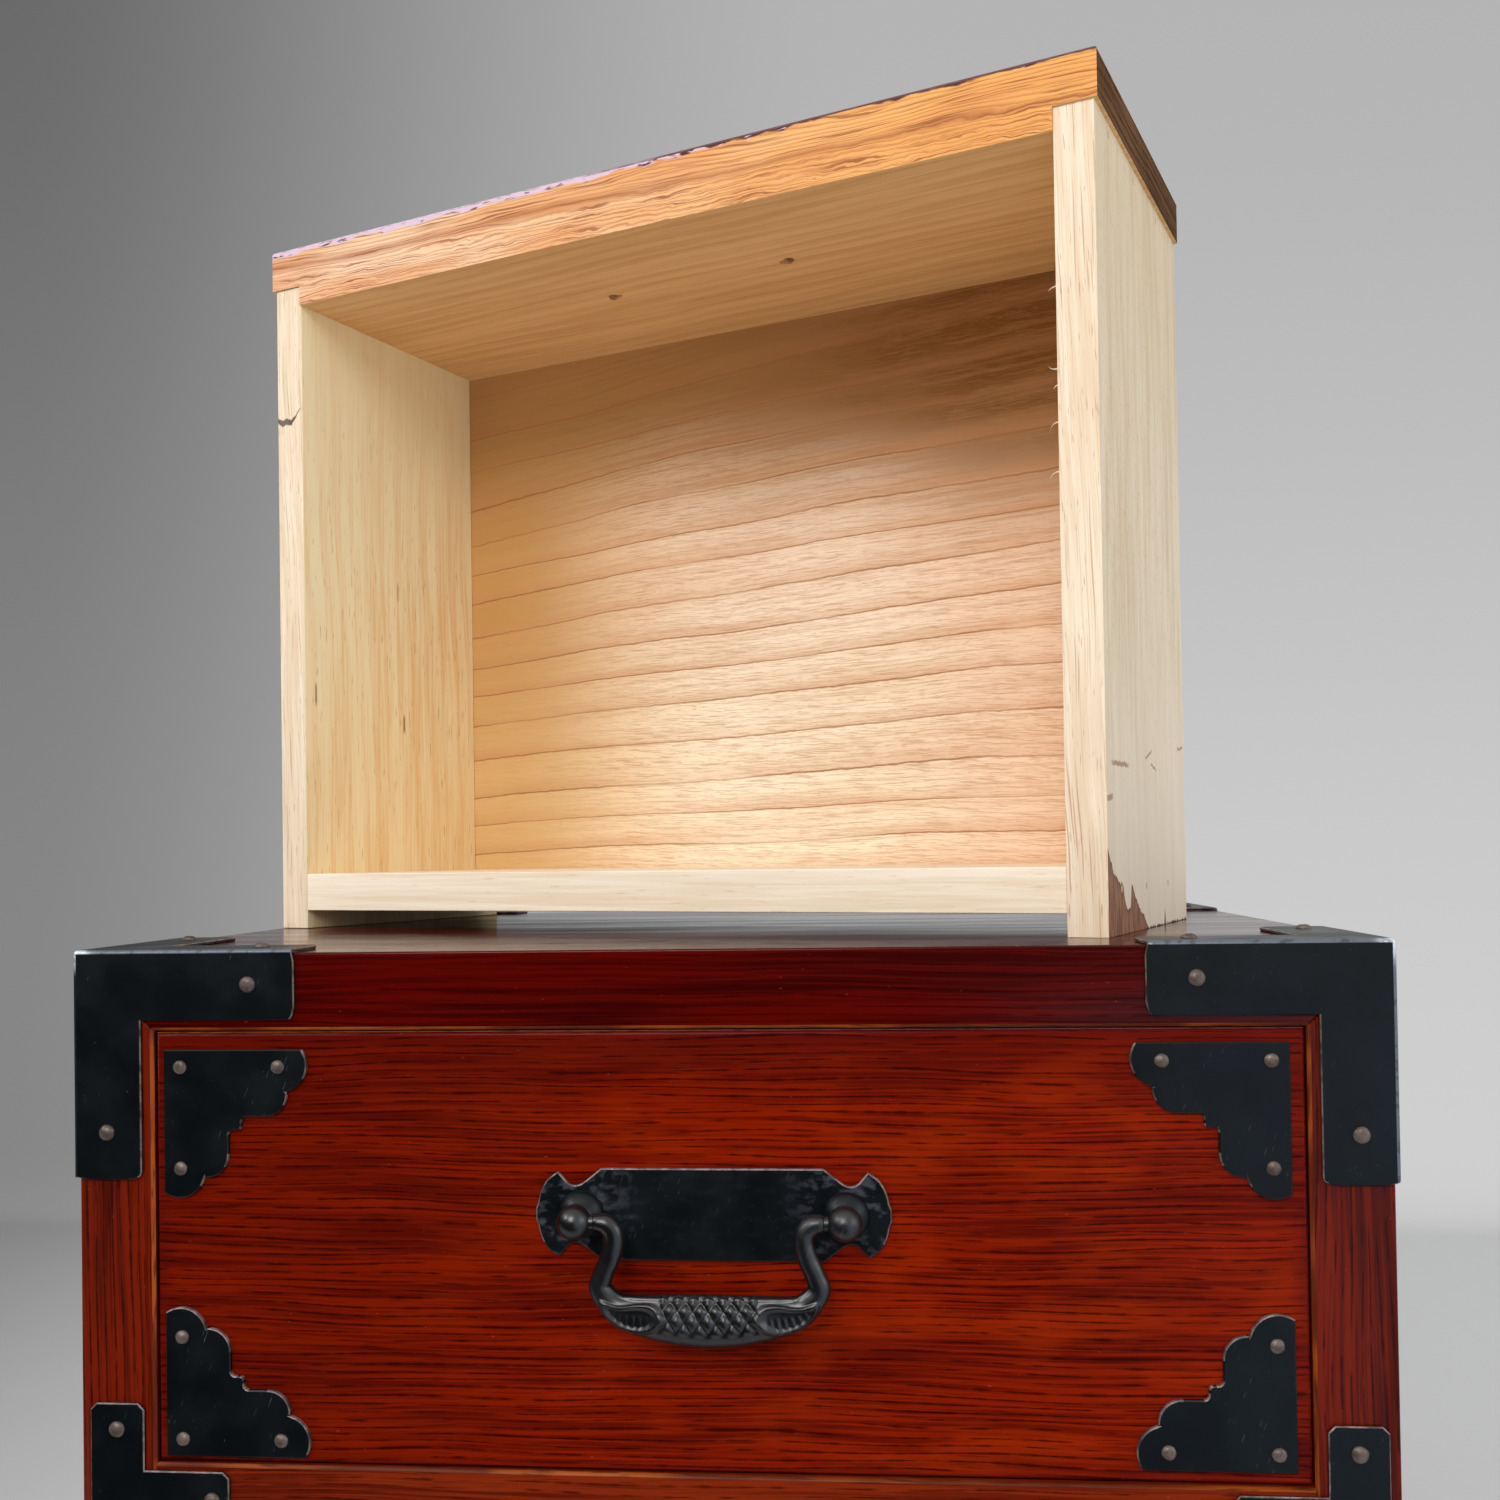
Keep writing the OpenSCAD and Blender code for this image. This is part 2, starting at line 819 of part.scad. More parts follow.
// Sweeps the bail's rows as one closed skin; a ring's sides lie square to the path
bail_sides = 12;
module bail_skin() {
    rows = bail_rows();
    n = len(rows);
    rings = [for (i = [0 : n - 1])
        let (
            before = rows[max(i - 1, 0)],
            after = rows[min(i + 1, n - 1)],
            along = [after[0] - before[0], after[1] - before[1]] /
                norm([after[0] - before[0], after[1] - before[1]]),
            up = arm_r + (grip_h / 2 - arm_r) * rows[i][2],
            out = arm_r + (grip_t / 2 - arm_r) * rows[i][2])
        [for (k = [0 : bail_sides - 1])
            let (a = 360 * k / bail_sides)
            [
                rows[i][0] - along[1] * up * cos(a),
                out * sin(a),
                rows[i][1] + along[0] * up * cos(a)]]];
    points = [for (ring = rings) for (p = ring) p];
    walls = [for (i = [0 : n - 2]) for (k = [0 : bail_sides - 1])
        let (
            a = i * bail_sides + k,
            b = i * bail_sides + (k + 1) % bail_sides)
        for (face = [[a, b, b + bail_sides], [a, b + bail_sides, a + bail_sides]]) face];
    ends = [
        [for (k = [bail_sides - 1 : -1 : 0]) k],
        [for (k = [0 : bail_sides - 1]) (n - 1) * bail_sides + k]];
    polyhedron(points, concat(walls, ends));
}

module bail(d) {
    lean = d == len(DRAWERS) - 1 ? bail_lean : 0;
    color(IRON)
        place_drawer(d)
            translate([0, -ball_out, post_z])
                rotate([lean, 0, 0])
                    union() {
                        bail_skin();
                        for (right = [false, true])
                            flip(right, [1, 0, 0])
                                translate([-post_pitch / 2 - pin_past, 0, 0])
                                    rotate([0, 90, 0])
                                        cylinder(
                                            h = pin_past + ball_r + shoulder_gap + arm_r / 2,
                                            r = pin_r);
                    }
}

case_side(false);  // case_side_left
case_side(true);  // case_side_right
case_top();
case_bottom();
case_back();
rail(0);  // rail_upper
rail(1);  // rail_lower
shelf(0);  // shelf_upper
shelf(1);  // shelf_lower
case_nails();
for (c = [0 : len(CORNERS) - 1]) {
    cap(c);
}
for (t = [0 : len(TEES) - 1]) {
    rail_plate(t);
}
for (d = [0 : len(DRAWERS) - 1]) {
    name = str(DRAWERS[d], "_drawer_");
    drawer_front(d);
    drawer_side(d, false);
    drawer_side(d, true);
    drawer_back(d);
    drawer_bottom(d);
    drawer_pegs(d);
    corner_plates(d);
    plate_nails(d);
    handle_plate(d);
    handle_posts(d);
    bail(d);
}
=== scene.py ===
"""Looks of a small lacquered tansu chest with iron fittings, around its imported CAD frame.

One drawer is lifted out and stands on its back end on the chest's top. Metres, row frame:
+Z up, drawer fronts towards -Y, floor at z = 0. Drawer pieces are modelled in their drawer's
own frame: X centred, y = 0 at the face and growing inward, z = 0 at the lower edge. Colours
of three numbers are display values from 0 to 255.
"""

import json
import math
import random

import bmesh
import bpy
from mathutils import Matrix, Vector, noise


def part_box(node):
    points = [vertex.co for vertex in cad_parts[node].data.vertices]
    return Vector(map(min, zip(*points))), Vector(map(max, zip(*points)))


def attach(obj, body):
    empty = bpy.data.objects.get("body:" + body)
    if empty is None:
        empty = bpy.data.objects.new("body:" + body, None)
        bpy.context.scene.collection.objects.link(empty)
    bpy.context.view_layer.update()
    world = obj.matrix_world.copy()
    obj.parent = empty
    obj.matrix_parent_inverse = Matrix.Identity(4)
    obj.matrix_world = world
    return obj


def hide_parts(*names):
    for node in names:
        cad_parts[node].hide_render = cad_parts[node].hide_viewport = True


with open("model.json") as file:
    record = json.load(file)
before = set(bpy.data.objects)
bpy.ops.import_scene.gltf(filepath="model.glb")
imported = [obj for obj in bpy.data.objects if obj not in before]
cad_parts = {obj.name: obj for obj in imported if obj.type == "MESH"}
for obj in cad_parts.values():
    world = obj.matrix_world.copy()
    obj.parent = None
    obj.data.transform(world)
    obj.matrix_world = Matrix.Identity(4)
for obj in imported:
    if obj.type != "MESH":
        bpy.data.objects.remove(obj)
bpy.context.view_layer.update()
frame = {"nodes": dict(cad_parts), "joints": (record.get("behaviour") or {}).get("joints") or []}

MM = 0.001
WELD = 0.002 * MM
FLAT = math.radians(1)
HERE = Matrix()

DRAWERS = ("top", "middle", "loose")

# The handle, from the CAD source: pin axis before the face, and above the lower edge
BALL_OUT = 8.5 * MM
PIN_UP = 58.1 * MM

# Camera, fitted to the photo
CAM_AT = Vector((0.0405, -0.4515, 0.3904))
CAM_YAW = 0.0909
CAM_PITCH = -0.0141
CAM_ROLL = -0.0151
CAM_LENS = 36.07
CAM_SHIFT = (0.0003, 0.0545)


# Frames and sizes, from the CAD


def drawer_frame(name):
    """Matrix from a drawer's own frame to the row frame, from its bail's hinge."""
    hinge = next(j for j in frame["joints"] if j["name"] == f"{name}_bail_hinge")
    x_axis = -Vector(hinge["axis"]).normalized()
    y_axis = Vector((0, 0, -1)) if name == "loose" else Vector((0, 1, 0))
    turn = Matrix((x_axis, y_axis, x_axis.cross(y_axis))).transposed()
    origin = Vector(hinge["pos_m"]) - turn @ Vector((0, -BALL_OUT, PIN_UP))
    return Matrix.Translation(origin) @ turn.to_4x4()


LOCAL = {name: drawer_frame(name) for name in DRAWERS}
FACE_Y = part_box("case_side_left")[0].y
CASE_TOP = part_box("case_top")[1].z
# The shelves reach this far into the case's sides
SHELF_IN = 4 * MM
BAY_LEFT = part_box("shelf_upper")[0].x + SHELF_IN
FRONT_LOW, FRONT_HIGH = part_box("top_drawer_front")
FRONT_HALF = FRONT_HIGH.x
FRONT_T = FRONT_HIGH.y - FRONT_LOW.y
FRONT_H = FRONT_HIGH.z - FRONT_LOW.z


# Shader nodes


def srgb(r, g, b):
    """A colour given as 0 to 255 display values, as linear values."""
    def linear(c):
        c = c / 255
        return c / 12.92 if c <= 0.04045 else ((c + 0.055) / 1.055) ** 2.4
    return (linear(r), linear(g), linear(b), 1.0)


def sum_of(operation):
    """A method that adds a math node for a field and, where it takes one, another value."""
    return lambda self, other=0.0: self.net.math(operation, self, other)


class Field:
    """What a node puts out, with the sums that materials make of it."""

    def __init__(self, net, socket):
        self.net = net
        self.socket = socket

    __add__ = sum_of("ADD")
    __sub__ = sum_of("SUBTRACT")
    __mul__ = sum_of("MULTIPLY")
    __abs__ = sum_of("ABSOLUTE")
    floor = sum_of("FLOOR")
    fract = sum_of("FRACT")
    most = sum_of("MAXIMUM")
    least = sum_of("MINIMUM")

    def __rsub__(self, other):
        return self.net.math("SUBTRACT", other, self)

    def __truediv__(self, number):
        return self * (1 / number)

    def ramp(self, low, high, to_low=0.0, to_high=1.0, kind="SMOOTHSTEP"):
        """Low to high becomes to_low to to_high, and is held outside."""
        return self.net.add(
            "MapRange", self, low, high, to_low, to_high, interpolation_type=kind)

    def profile(self, points):
        """A height in straight pieces through the points of value and height."""
        total = points[0][1]
        for (x0, y0), (x1, y1) in zip(points, points[1:]):
            total = self.ramp(x0, x1, 0.0, y1 - y0, "LINEAR") + total
        return total


class Net:
    """Adds nodes to a node tree; most calls add one and return its field."""

    def __init__(self, tree):
        self.nodes = tree.nodes
        self.links = tree.links

    def put(self, value, socket):
        if isinstance(value, Field):
            self.links.new(value.socket, socket)
        elif isinstance(value, tuple) and len(value) == 3:
            socket.default_value = srgb(*value)
        else:
            socket.default_value = value

    def add(self, kind, *values, output=0, **settings):
        node = self.nodes.new("ShaderNode" + kind)
        for setting, value in settings.items():
            setattr(node, setting, value)
        for value, socket in zip(values, node.inputs):
            self.put(value, socket)
        return Field(self, node.outputs[output])

    def math(self, operation, a, b=0.0):
        return self.add("Math", a, b, operation=operation)

    def mix(self, share, one, two):
        """A colour from one, where share is 0, to two, where it is 1."""
        field = self.add("Mix", share, data_type="RGBA", output=2)
        for value, socket in zip((one, two), field.socket.node.inputs[6:8]):
            self.put(value, socket)
        return field

    def noise(self, x, y, z, detail):
        """Noise with features about one unit in size, mostly from 0.25 to 0.75."""
        place = self.add("CombineXYZ", x, y, z)
        return self.add("TexNoise", place, 0.0, 1.0, detail)

    def split(self, place):
        """X, Y and Z of a texture coordinate."""
        node = self.add("SeparateXYZ", self.add("TexCoord", output=place)).socket.node
        return [Field(self, socket) for socket in node.outputs]


class Look(Net):
    """One material, whose colour is painted over step by step."""

    def __init__(self, name, colour=(0, 0, 0)):
        self.material = bpy.data.materials.new(name)
        self.material.use_nodes = True
        super().__init__(self.material.node_tree)
        self.nodes.clear()
        self.surface = self.nodes.new("ShaderNodeOutputMaterial").inputs["Surface"]
        self.shader = self.add("BsdfPrincipled")
        self.put(self.shader, self.surface)
        self.sockets = self.shader.socket.node.inputs
        self.colour = colour

    def mm(self, order="XYZ"):
        """The place in the piece's own frame in mm; order puts the grain's axis first."""
        fields = dict(zip("XYZ", self.split("Object")))
        return [fields[axis] / MM for axis in order]

    def paint(self, share, colour):
        self.colour = self.mix(share, self.colour, colour)

    def bump(self, height, distance, strength):
        """Bumps in the surface, of a distance in mm."""
        field = self.add("Bump", strength, distance * MM)
        self.put(height, field.socket.node.inputs["Height"])
        self.put(field, self.sockets["Normal"])

    def finish(self, roughness, specular, metallic=0.0):
        for name, value in (("Base Color", self.colour), ("Roughness", roughness),
                            ("Specular IOR Level", specular), ("Metallic", metallic)):
            self.put(value, self.sockets[name])
        return self.material


# Woods


class Grain:
    """Wood grain on a net: u runs along the grain, v and w across it, all in mm."""

    def __init__(self, net, order, shift):
        self.net = net
        self.shift = shift
        self.u, self.v, self.level = net.mm(order)
        waves = net.noise(self.u / 110, (self.v + shift) / 45, self.level / 40, 2)
        self.drift = (waves - 0.5) * 7
        self.w = self.level + self.drift

    def streaks(self, length, width, detail=1, shift=0.0):
        """Noise drawn out along the grain."""
        return self.net.noise(
            (self.u + shift) / length, self.v / width, self.w / width, detail)

    def late_wood(self, ring, tilt=0.8):
        """Growth rings: a slow rise to the late wood, and a sharp end."""
        across = self.level * math.cos(tilt) + self.v * math.sin(tilt)
        step = ((across + (self.u * 0.02 + (self.drift + self.shift))) / ring).fract()
        return step.ramp(0.15, 0.93) * step.ramp(0.955, 1.0, 1, 0)


PORE_ROW = 1.9


def lacquer(name, order, light, deep, pore, shift, extra=None, rough=0.22, specular=0.07,
            pores=0.75):
    """Transparent red lacquer over wood: fine streaks and rows of short dark pores."""
    net = Look(name, light)
    grain = Grain(net, order, shift)
    fine = grain.streaks(50, 0.9, 2)
    broad = grain.streaks(90, 11, 2, 30)
    tone = fine.ramp(0.32, 0.68) * 0.6 + broad.ramp(0.35, 0.65) * 0.35
    net.paint(tone.ramp(0.1, 0.9), deep)
    across = grain.w + grain.v * 0.7
    row = across / PORE_ROW + net.noise(grain.u / 80, 0, across / 7, 1) * 2.0
    number = row.floor()
    width = net.noise(grain.u / 4, number * 7.3, shift, 2)
    thin = (abs(row.fract() - 0.5) + width * 0.3).ramp(0.17, 0.32, 1, 0)
    along = net.noise(grain.u / 9, number * 3.7, shift, 1)
    dense = grain.streaks(60, 7, 1, 70)
    dashes = thin * (along + (dense - 0.5) * 0.7).ramp(0.34, 0.54)
    loose = grain.streaks(12, 0.5, 1, 11).ramp(0.6, 0.72)
    if extra:
        extra(net)
    net.paint(dashes.most(loose * 0.6) * pores, pore)
    net.paint(grain.streaks(1.6, 0.6, 0, 90).ramp(0.83, 0.88, 0, 0.3), (180, 80, 60))
    net.bump(fine * 0.2 - dashes, 0.045, 0.6)
    return net.finish(broad.ramp(0.3, 0.7, rough - 0.03, rough + 0.05), specular)


def front_border_and_painted_shade(net):
    """Orange patches, a darker left end, painted shade towards the upper edge, and a darker band
    along all edges.
    """
    x, _, z = net.mm()
    patch = net.noise(x / 34, 0, z / 13, 2).ramp(0.46, 0.66, 0, 0.4)
    net.paint(patch * x.ramp(-110, 60, 0.25, 1), (150, 40, 0))
    net.paint(x.ramp(10, -110, 0, 0.4), (70, 7, 0))
    above = FRONT_H / MM - z
    near = (FRONT_HALF / MM - abs(x)).least(above.least(z * 1.8))
    wavy = (net.noise(x / 14, 0, z / 14, 2) - 0.5) * 4
    # Painted shade: the face darker towards its upper edge
    net.paint((above + wavy * 2.5).ramp(4, 22, 0.5, 0), (80, 8, 2))
    # Darker along every edge of the face
    net.paint((near + wavy).ramp(0.5, 5, 0.5, 0), (80, 9, 5))


def rim_wood_painted_highlight(name, left, right, chip, low, high):
    """The rubbed rim of a drawer front, whose colour changes along its length into a
    pinkish-lilac painted highlight.
    """
    net = Look(name, left)
    x, y, z = net.mm()
    patch = net.noise(x / 18, 0, z / 18, 3)
    grit = net.noise(x / 3, y / 0.5, z / 3, 2)
    # Painted highlight: towards one end the rim turns to the pinkish-lilac of light reflected off
    # its gloss
    net.paint((x + (patch - 0.5) * 90).ramp(low, high), right)
    net.paint(grit.ramp(0.5, 0.66, 0, 0.7), chip)
    net.bump(grit, 0.04, 0.5)
    return net.finish(0.4, 0.25)


def opening_wood():
    """Rubbed edge of the case's openings: orange wood between darker lines."""
    net = Look("opening_edge_wood", (150, 72, 20))
    x, y, z = net.mm()
    grit = net.noise(x / 9, y / 0.5, z / 9, 2)
    net.paint(net.noise(x / 30, 0.5, z / 30, 2).ramp(0.35, 0.6), (92, 34, 10))
    net.paint(grit.ramp(0.5, 0.66, 0, 0.8), (70, 22, 8))
    net.bump(grit, 0.04, 0.5)
    return net.finish(0.4, 0.12)


def pale_wood(name, order, light, deep, fleck, shift, ring=5, flecks=0.6, marks=None,
              rings=0.3, speckle=0.0):
    """Bare pale softwood with fine fibres and long brown flecks."""
    net = Look(name, light)
    grain = Grain(net, order, shift)
    fibre = grain.streaks(30, 0.9, 3)
    broad = grain.streaks(120, 10, 2, 60)
    tone = grain.late_wood(ring) * rings + fibre.ramp(0.32, 0.68) * 0.4
    net.paint((tone + broad.ramp(0.35, 0.65) * 0.35).ramp(0.1, 1.05), deep)
    long_flecks = grain.streaks(7, 0.6, 1, 17).ramp(0.66, 0.75, 0, flecks)
    net.paint(long_flecks, fleck)
    fuzz = net.noise(grain.u / 0.6, grain.v / 0.6, grain.w / 0.6, 2)
    if speckle:
        net.paint(grain.streaks(2.2, 0.9, 2, 41).ramp(0.56, 0.7, 0, speckle), fleck)
    if marks:
        marks(net)
    net.bump(fibre + (fuzz - long_flecks), 0.06, 0.6)
    return net.finish(fuzz.ramp(0.3, 0.7, 0.55, 0.75), 0.2)


def mouth_wood(name, shift, marks=None):
    """Planed mouth edge of a drawer side: pale, with thin brown lines a little across it."""
    net = Look(name, (241, 223, 198))
    u, v, _ = net.mm("YXZ")
    across = v + u * 0.035 + (net.noise(u / 60, v / 20, shift, 2) - 0.5) * 3.5
    silk = net.noise(u / 50, across / 2.5, shift + 5, 2)
    fibre = net.noise(u / 26, across / 0.35, shift + 9, 2)
    lines = net.noise(u / 34, across / 0.7, shift + 13, 1)
    short = net.noise(u / 6, across / 0.4, shift + 17, 1)
    net.paint(silk.ramp(0.35, 0.65), (230, 206, 176))
    net.paint(fibre.ramp(0.5, 0.68, 0, 0.5), (208, 176, 138))
    net.paint(lines.ramp(0.63, 0.7, 0, 0.7), (192, 148, 116))
    net.paint(short.ramp(0.66, 0.74, 0, 0.7), (184, 138, 108))
    if marks:
        marks(net)
    net.bump(fibre * -1 - lines, 0.05, 0.6)
    return net.finish(0.6, 0.2)


# Marks on the lifted drawer's sides, all in mm in the drawer's frame
SIDE_OUTER_X = 129.6
SIDE_INNER_X = 119.6
SIDE_END_Y = 213.5
# Dark specks on an inner side: y, z, half length, and how dark
SPECKS = ((140, 94, 4.5, 0.7), (146.5, 51.5, 4.0, 0.8), (102, 54, 4.0, 0.45))
# Torn, brown patch at the lower mouth corner of the outer side: height above the side's lower
# end, against the distance from the mouth's arris
STAIN = (
    (0, 21.4), (6.4, 15), (13.6, 13), (15.6, 12.6), (18, 8), (21, 6), (24, 6.5), (25.5, 12.5),
    (31, 8), (35, 5.5), (40, 3.5), (45, 0.5), (60, 0.4), (66, 0.4), (67, 5), (68, 0.4), (99, 0.5))
# Strokes on the same side: y, z, half length, slope, half thickness
STROKES = (
    (171.4, 83.9, 11, 0.0, 0.6), (180, 95.4, 3.6, 0.1, 0.75), (167.5, 50, 5, 0.3, 0.3),
    (170.5, 44, 4, -0.2, 0.3), (163.5, 6, 5, 0.15, 0.4))
# Middle and half thickness of the scuff across the other side's mouth edge, against the
# distance from that edge's outer arris
SCUFF_LINE = ((0, 53.4), (2, 54.6), (3.5, 54.0), (5.5, 54.9), (7.5, 53.0), (9, 50.6))
SCUFF_THICK = ((0, 0.7), (2, 1.05), (5, 0.9), (7, 0.5), (9, 0.2), (9.6, 0.0))


def golden(net):
    """Yellower wood near the mouth, and painted light that lightens the shaded wood towards the
    drawer's face.
    """
    _, y, _ = net.mm()
    net.paint(y.ramp(90, 205, 0, 0.25), (246, 206, 140))
    # Painted light: lighter towards the face, where the inside lies in shade
    net.paint(y.ramp(120, 20, 0, 0.7), (255, 246, 208))


def specked(net):
    """The golden wood, with its painted light, and a few dark specks."""
    _, y, z = net.mm()
    golden(net)
    for speck_y, speck_z, reach, dark in SPECKS:
        long = abs(y - speck_y).ramp(reach * 0.4, reach, dark, 0)
        net.paint(long * abs(z - speck_z).ramp(0.2, 0.65, 1, 0), (130, 68, 40))


def stained(net):
    """A torn, brown patch at the lower mouth corner of the outer side, and small strokes."""
    x, y, z = net.mm()
    net.paint(y.ramp(110, 20, 0, 0.35), (216, 192, 150))
    net.paint(y.ramp(110, 200, 0, 0.6), (248, 232, 212))
    inward = (FRONT_H / MM - 0.6) - z
    teeth = net.noise(z / 1.6, y / 12, 3, 3) - 0.5
    depth = inward.profile(STAIN) + teeth * 3 - (SIDE_END_Y - y)
    outer = x.ramp(0.2 - SIDE_OUTER_X, 0.5 - SIDE_OUTER_X, 1, 0)
    grain = net.noise(z / 1.5, y / 9, 0, 2)
    brown = net.mix(grain.ramp(0.35, 0.65), (170, 122, 94), (132, 88, 66))
    brown = net.mix(depth.ramp(0.6, 1.6, 0.7, 0), brown, (112, 74, 58))
    brown = net.mix(inward.ramp(42, 48), brown, (66, 46, 36))
    net.paint(depth.ramp(0, 0.45) * outer, brown)
    for mark_y, mark_z, reach, slope, thick in STROKES:
        across = y - ((z - mark_z) * slope + mark_y) + teeth * 1.6
        line = abs(across).ramp(thick * 0.6, thick + 0.2, 1, 0)
        line = line * abs(z - mark_z).ramp(reach * 0.6, reach, 0.75, 0)
        net.paint(line * outer, (160, 116, 88))


def scuffed(net):
    """A thin torn scuff across the mouth edge of the other side."""
    x, y, _ = net.mm()
    inward = SIDE_OUTER_X - x
    jag = net.noise(x / 1.2, y / 8, 0, 3)
    off = y - inward.profile(SCUFF_LINE) - (jag - 0.5) * 1.6
    away = abs(off) - inward.profile(SCUFF_THICK)
    tone = net.mix(jag.ramp(0.4, 0.6), (56, 43, 41), (102, 82, 76))
    net.paint(away.ramp(-0.15, 0.2, 0.9, 0), tone)


PANEL_RING = 12.5


def panel_wood():
    """The drawer's bottom panel: tan wood with sharp brown growth lines, rising sideways; browner
    and darker near the front board, partly its tone and partly painted shade.
    """
    net = Look("drawer_panel_wood")
    u, v, w = net.mm("XZY")
    side = (u + 120) / 240
    rise = side * (w.ramp(80, 170, 9, 0.5) + side * 6)
    waves = net.noise(u / 110, 0.3, w / 80, 1) - 0.5
    ripple = net.noise(u / 26, 0.7, w / 18, 1) - 0.5
    uneven = net.noise(0, 5, w / 30, 1) - 0.5
    ragged = net.noise(u / 5, 3, w / 3, 2) - 0.5
    across = w - rise + waves * 7 + ripple * 1.1 + uneven * 12 + ragged * 0.8
    step = (across / PANEL_RING).fract()
    fresh = step.ramp(0.975, 1.0, 1, 0)
    faint = net.noise(u / 70, 2, w / 14, 1).ramp(0.35, 0.55, 0.5, 1)
    shade = step.ramp(0.5, 0.97) * fresh * faint
    line = step.ramp(0.935, 0.97) * fresh * (faint * w.ramp(20, 84, 0.35, 1))
    strokes = net.noise(u / 9, v / 2, (across + u * 0.06) / 0.3, 1)
    fibre = net.noise(u / 60, v / 2, across / 0.9, 2)
    silk = net.noise(u / 70, 7, across / 8, 1)
    dots = net.noise(u / 3, v / 2, across / 0.26, 1)
    plain = u.ramp(46, 96, 1, 0.3)
    # Partly painted light: the panel's colours lighter towards the back board
    cream = net.mix(w.ramp(70, 170), (239, 211, 186), (246, 231, 205))
    tan = net.mix(w.ramp(100, 175), (198, 150, 88), (220, 180, 122))
    pale = net.mix(u.ramp(8, 108), cream, tan)
    rosy = net.mix(u.ramp(-20, -110, 0, 0.8), pale, (230, 190, 162))
    # Partly painted shade: browner and darker near the front board, which shades the panel, most
    # towards negative x
    upper = net.mix(u.ramp(60, -80), (192, 146, 90), (140, 94, 44))
    cloudy = w + (waves * 50 + u * 0.12)
    net.colour = net.mix(cloudy.ramp(100, 34), rosy, upper)
    net.paint(silk.ramp(0.42, 0.7, 0, 0.22), (214, 164, 118))
    streaky = cloudy.ramp(100, 50, 0.22, 0.5) * plain
    net.paint(fibre.ramp(0.48, 0.64) * streaky, (178, 126, 80))
    pored = strokes.ramp(0.54, 0.64).most(dots.ramp(0.6, 0.7, 0, 0.8))
    net.paint(pored * (plain * 0.5), (182, 130, 88))
    net.paint(shade * 0.42, (196, 138, 92))
    net.paint(line * 0.85, (152, 98, 58))
    net.bump(strokes * -0.7 - line, 0.06, 0.6)
    return net.finish(0.6, 0.15)


def front_edge_wood():
    """Raw upper and lower edges of a drawer front: orange wood, and lacquer run over its rim,
    painted pale lilac as a highlight, with dark chips.
    """
    net = Look("front_raw_edge", (238, 172, 96))
    u, v, w = net.mm("XZY")
    curl = net.noise(u / 60, v / 20, w / 8, 2)
    frill = net.noise(u / 7, v / 20, w / 2.5, 2)
    across = w + u * 0.02 + (curl - 0.5) * 6
    across = across + (frill - 0.5) * 2.2 * w.ramp(8, 11, 0.25, 1)
    step = (across / 1.25).fract()
    fibre = net.noise(u / 26, 0, across / 0.5, 2)
    net.paint(u.ramp(-110, 110), (240, 202, 166))
    net.paint(curl.ramp(0.38, 0.62, 0, 0.6), (222, 148, 84))
    rings = step.ramp(0.45, 0.9) * step.ramp(0.93, 1.0, 1, 0)
    net.paint(rings * 0.5, (176, 98, 52))
    net.paint(abs(across - 8.5).ramp(0.3, 1.4, 0.5, 0), (160, 86, 46))
    net.paint(fibre.ramp(0.53, 0.66, 0, 0.75), (142, 74, 44))
    ragged = net.noise(u / 9, 4, w / 3, 3)
    chips = net.noise(u / 5, 9, w / 1.2, 2) + u.ramp(10, -50, -0.02, 0.25)
    # Painted highlight: the lacquer line along the outer edge is pale lilac, darker and more
    # chipped towards one end
    worn = net.mix(chips.ramp(0.54, 0.64), (216, 190, 206), (84, 40, 44))
    edge = w + (ragged - 0.5) * -4 + u.ramp(40, -60)
    net.paint(edge.ramp(1.9, 2.6, 1, 0), worn)
    net.bump(rings * -0.6 - fibre, 0.06, 0.5)
    return net.finish(0.55, 0.15)


# Irons


def iron(name, dark, scratch, rough, specular, bump=0.12, scuffs=0.0):
    """Blackened iron: satin, faintly dented, with light scratches and scuffs near its ends."""
    net = Look(name, dark)
    x, y, z = net.mm()
    cloud = net.noise(x / 14, y / 14, z / 14, 3)
    fine = net.noise(x / 0.6, y / 0.6, z / 0.6, 2)
    scratches = net.noise((x * 0.8 + z) / 5, y / 5, (x * 1.1 - z * 0.4) / 0.25, 1)
    lines = scratches.ramp(0.72, 0.78, 0, 0.5) * cloud.ramp(0.45, 0.6)
    lighter = [c * 1.6 for c in srgb(*dark)[:3]] + [1.0]
    net.paint(cloud.ramp(0.35, 0.7), lighter)
    net.paint(lines.most(fine.ramp(0.74, 0.8, 0, 0.35)), scratch)
    if scuffs:
        blots = net.noise(x / 3, y / 3, z / 2, 4).ramp(0.48, 0.68, 0, scuffs)
        net.paint(blots * abs(x).ramp(14, 28, 0.05, 1), (84, 86, 98))
    net.bump(cloud * 3 + fine * 0.12, bump, 0.6)
    return net.finish(cloud.ramp(0.3, 0.7, rough, rough + 0.1), specular)


def worn_iron(name, metal, brown, dirt, metallic=0.0, rough=0.35):
    """Iron rubbed through its black coat to brownish metal, uneven along its length."""
    net = Look(name, brown)
    x, y, z = net.mm()
    grit = net.noise(x / 0.5, y / 0.5, z / 0.5, 2)
    net.paint(net.noise(x / 3, y / 3, z / 3, 3).ramp(0.35, 0.6), metal)
    net.paint(grit.ramp(0.55, 0.75, 0, dirt), (40, 34, 34))
    net.bump(grit, 0.04, 0.5)
    return net.finish(grit.ramp(0.3, 0.7, rough, rough + 0.15), 0.5, metallic)


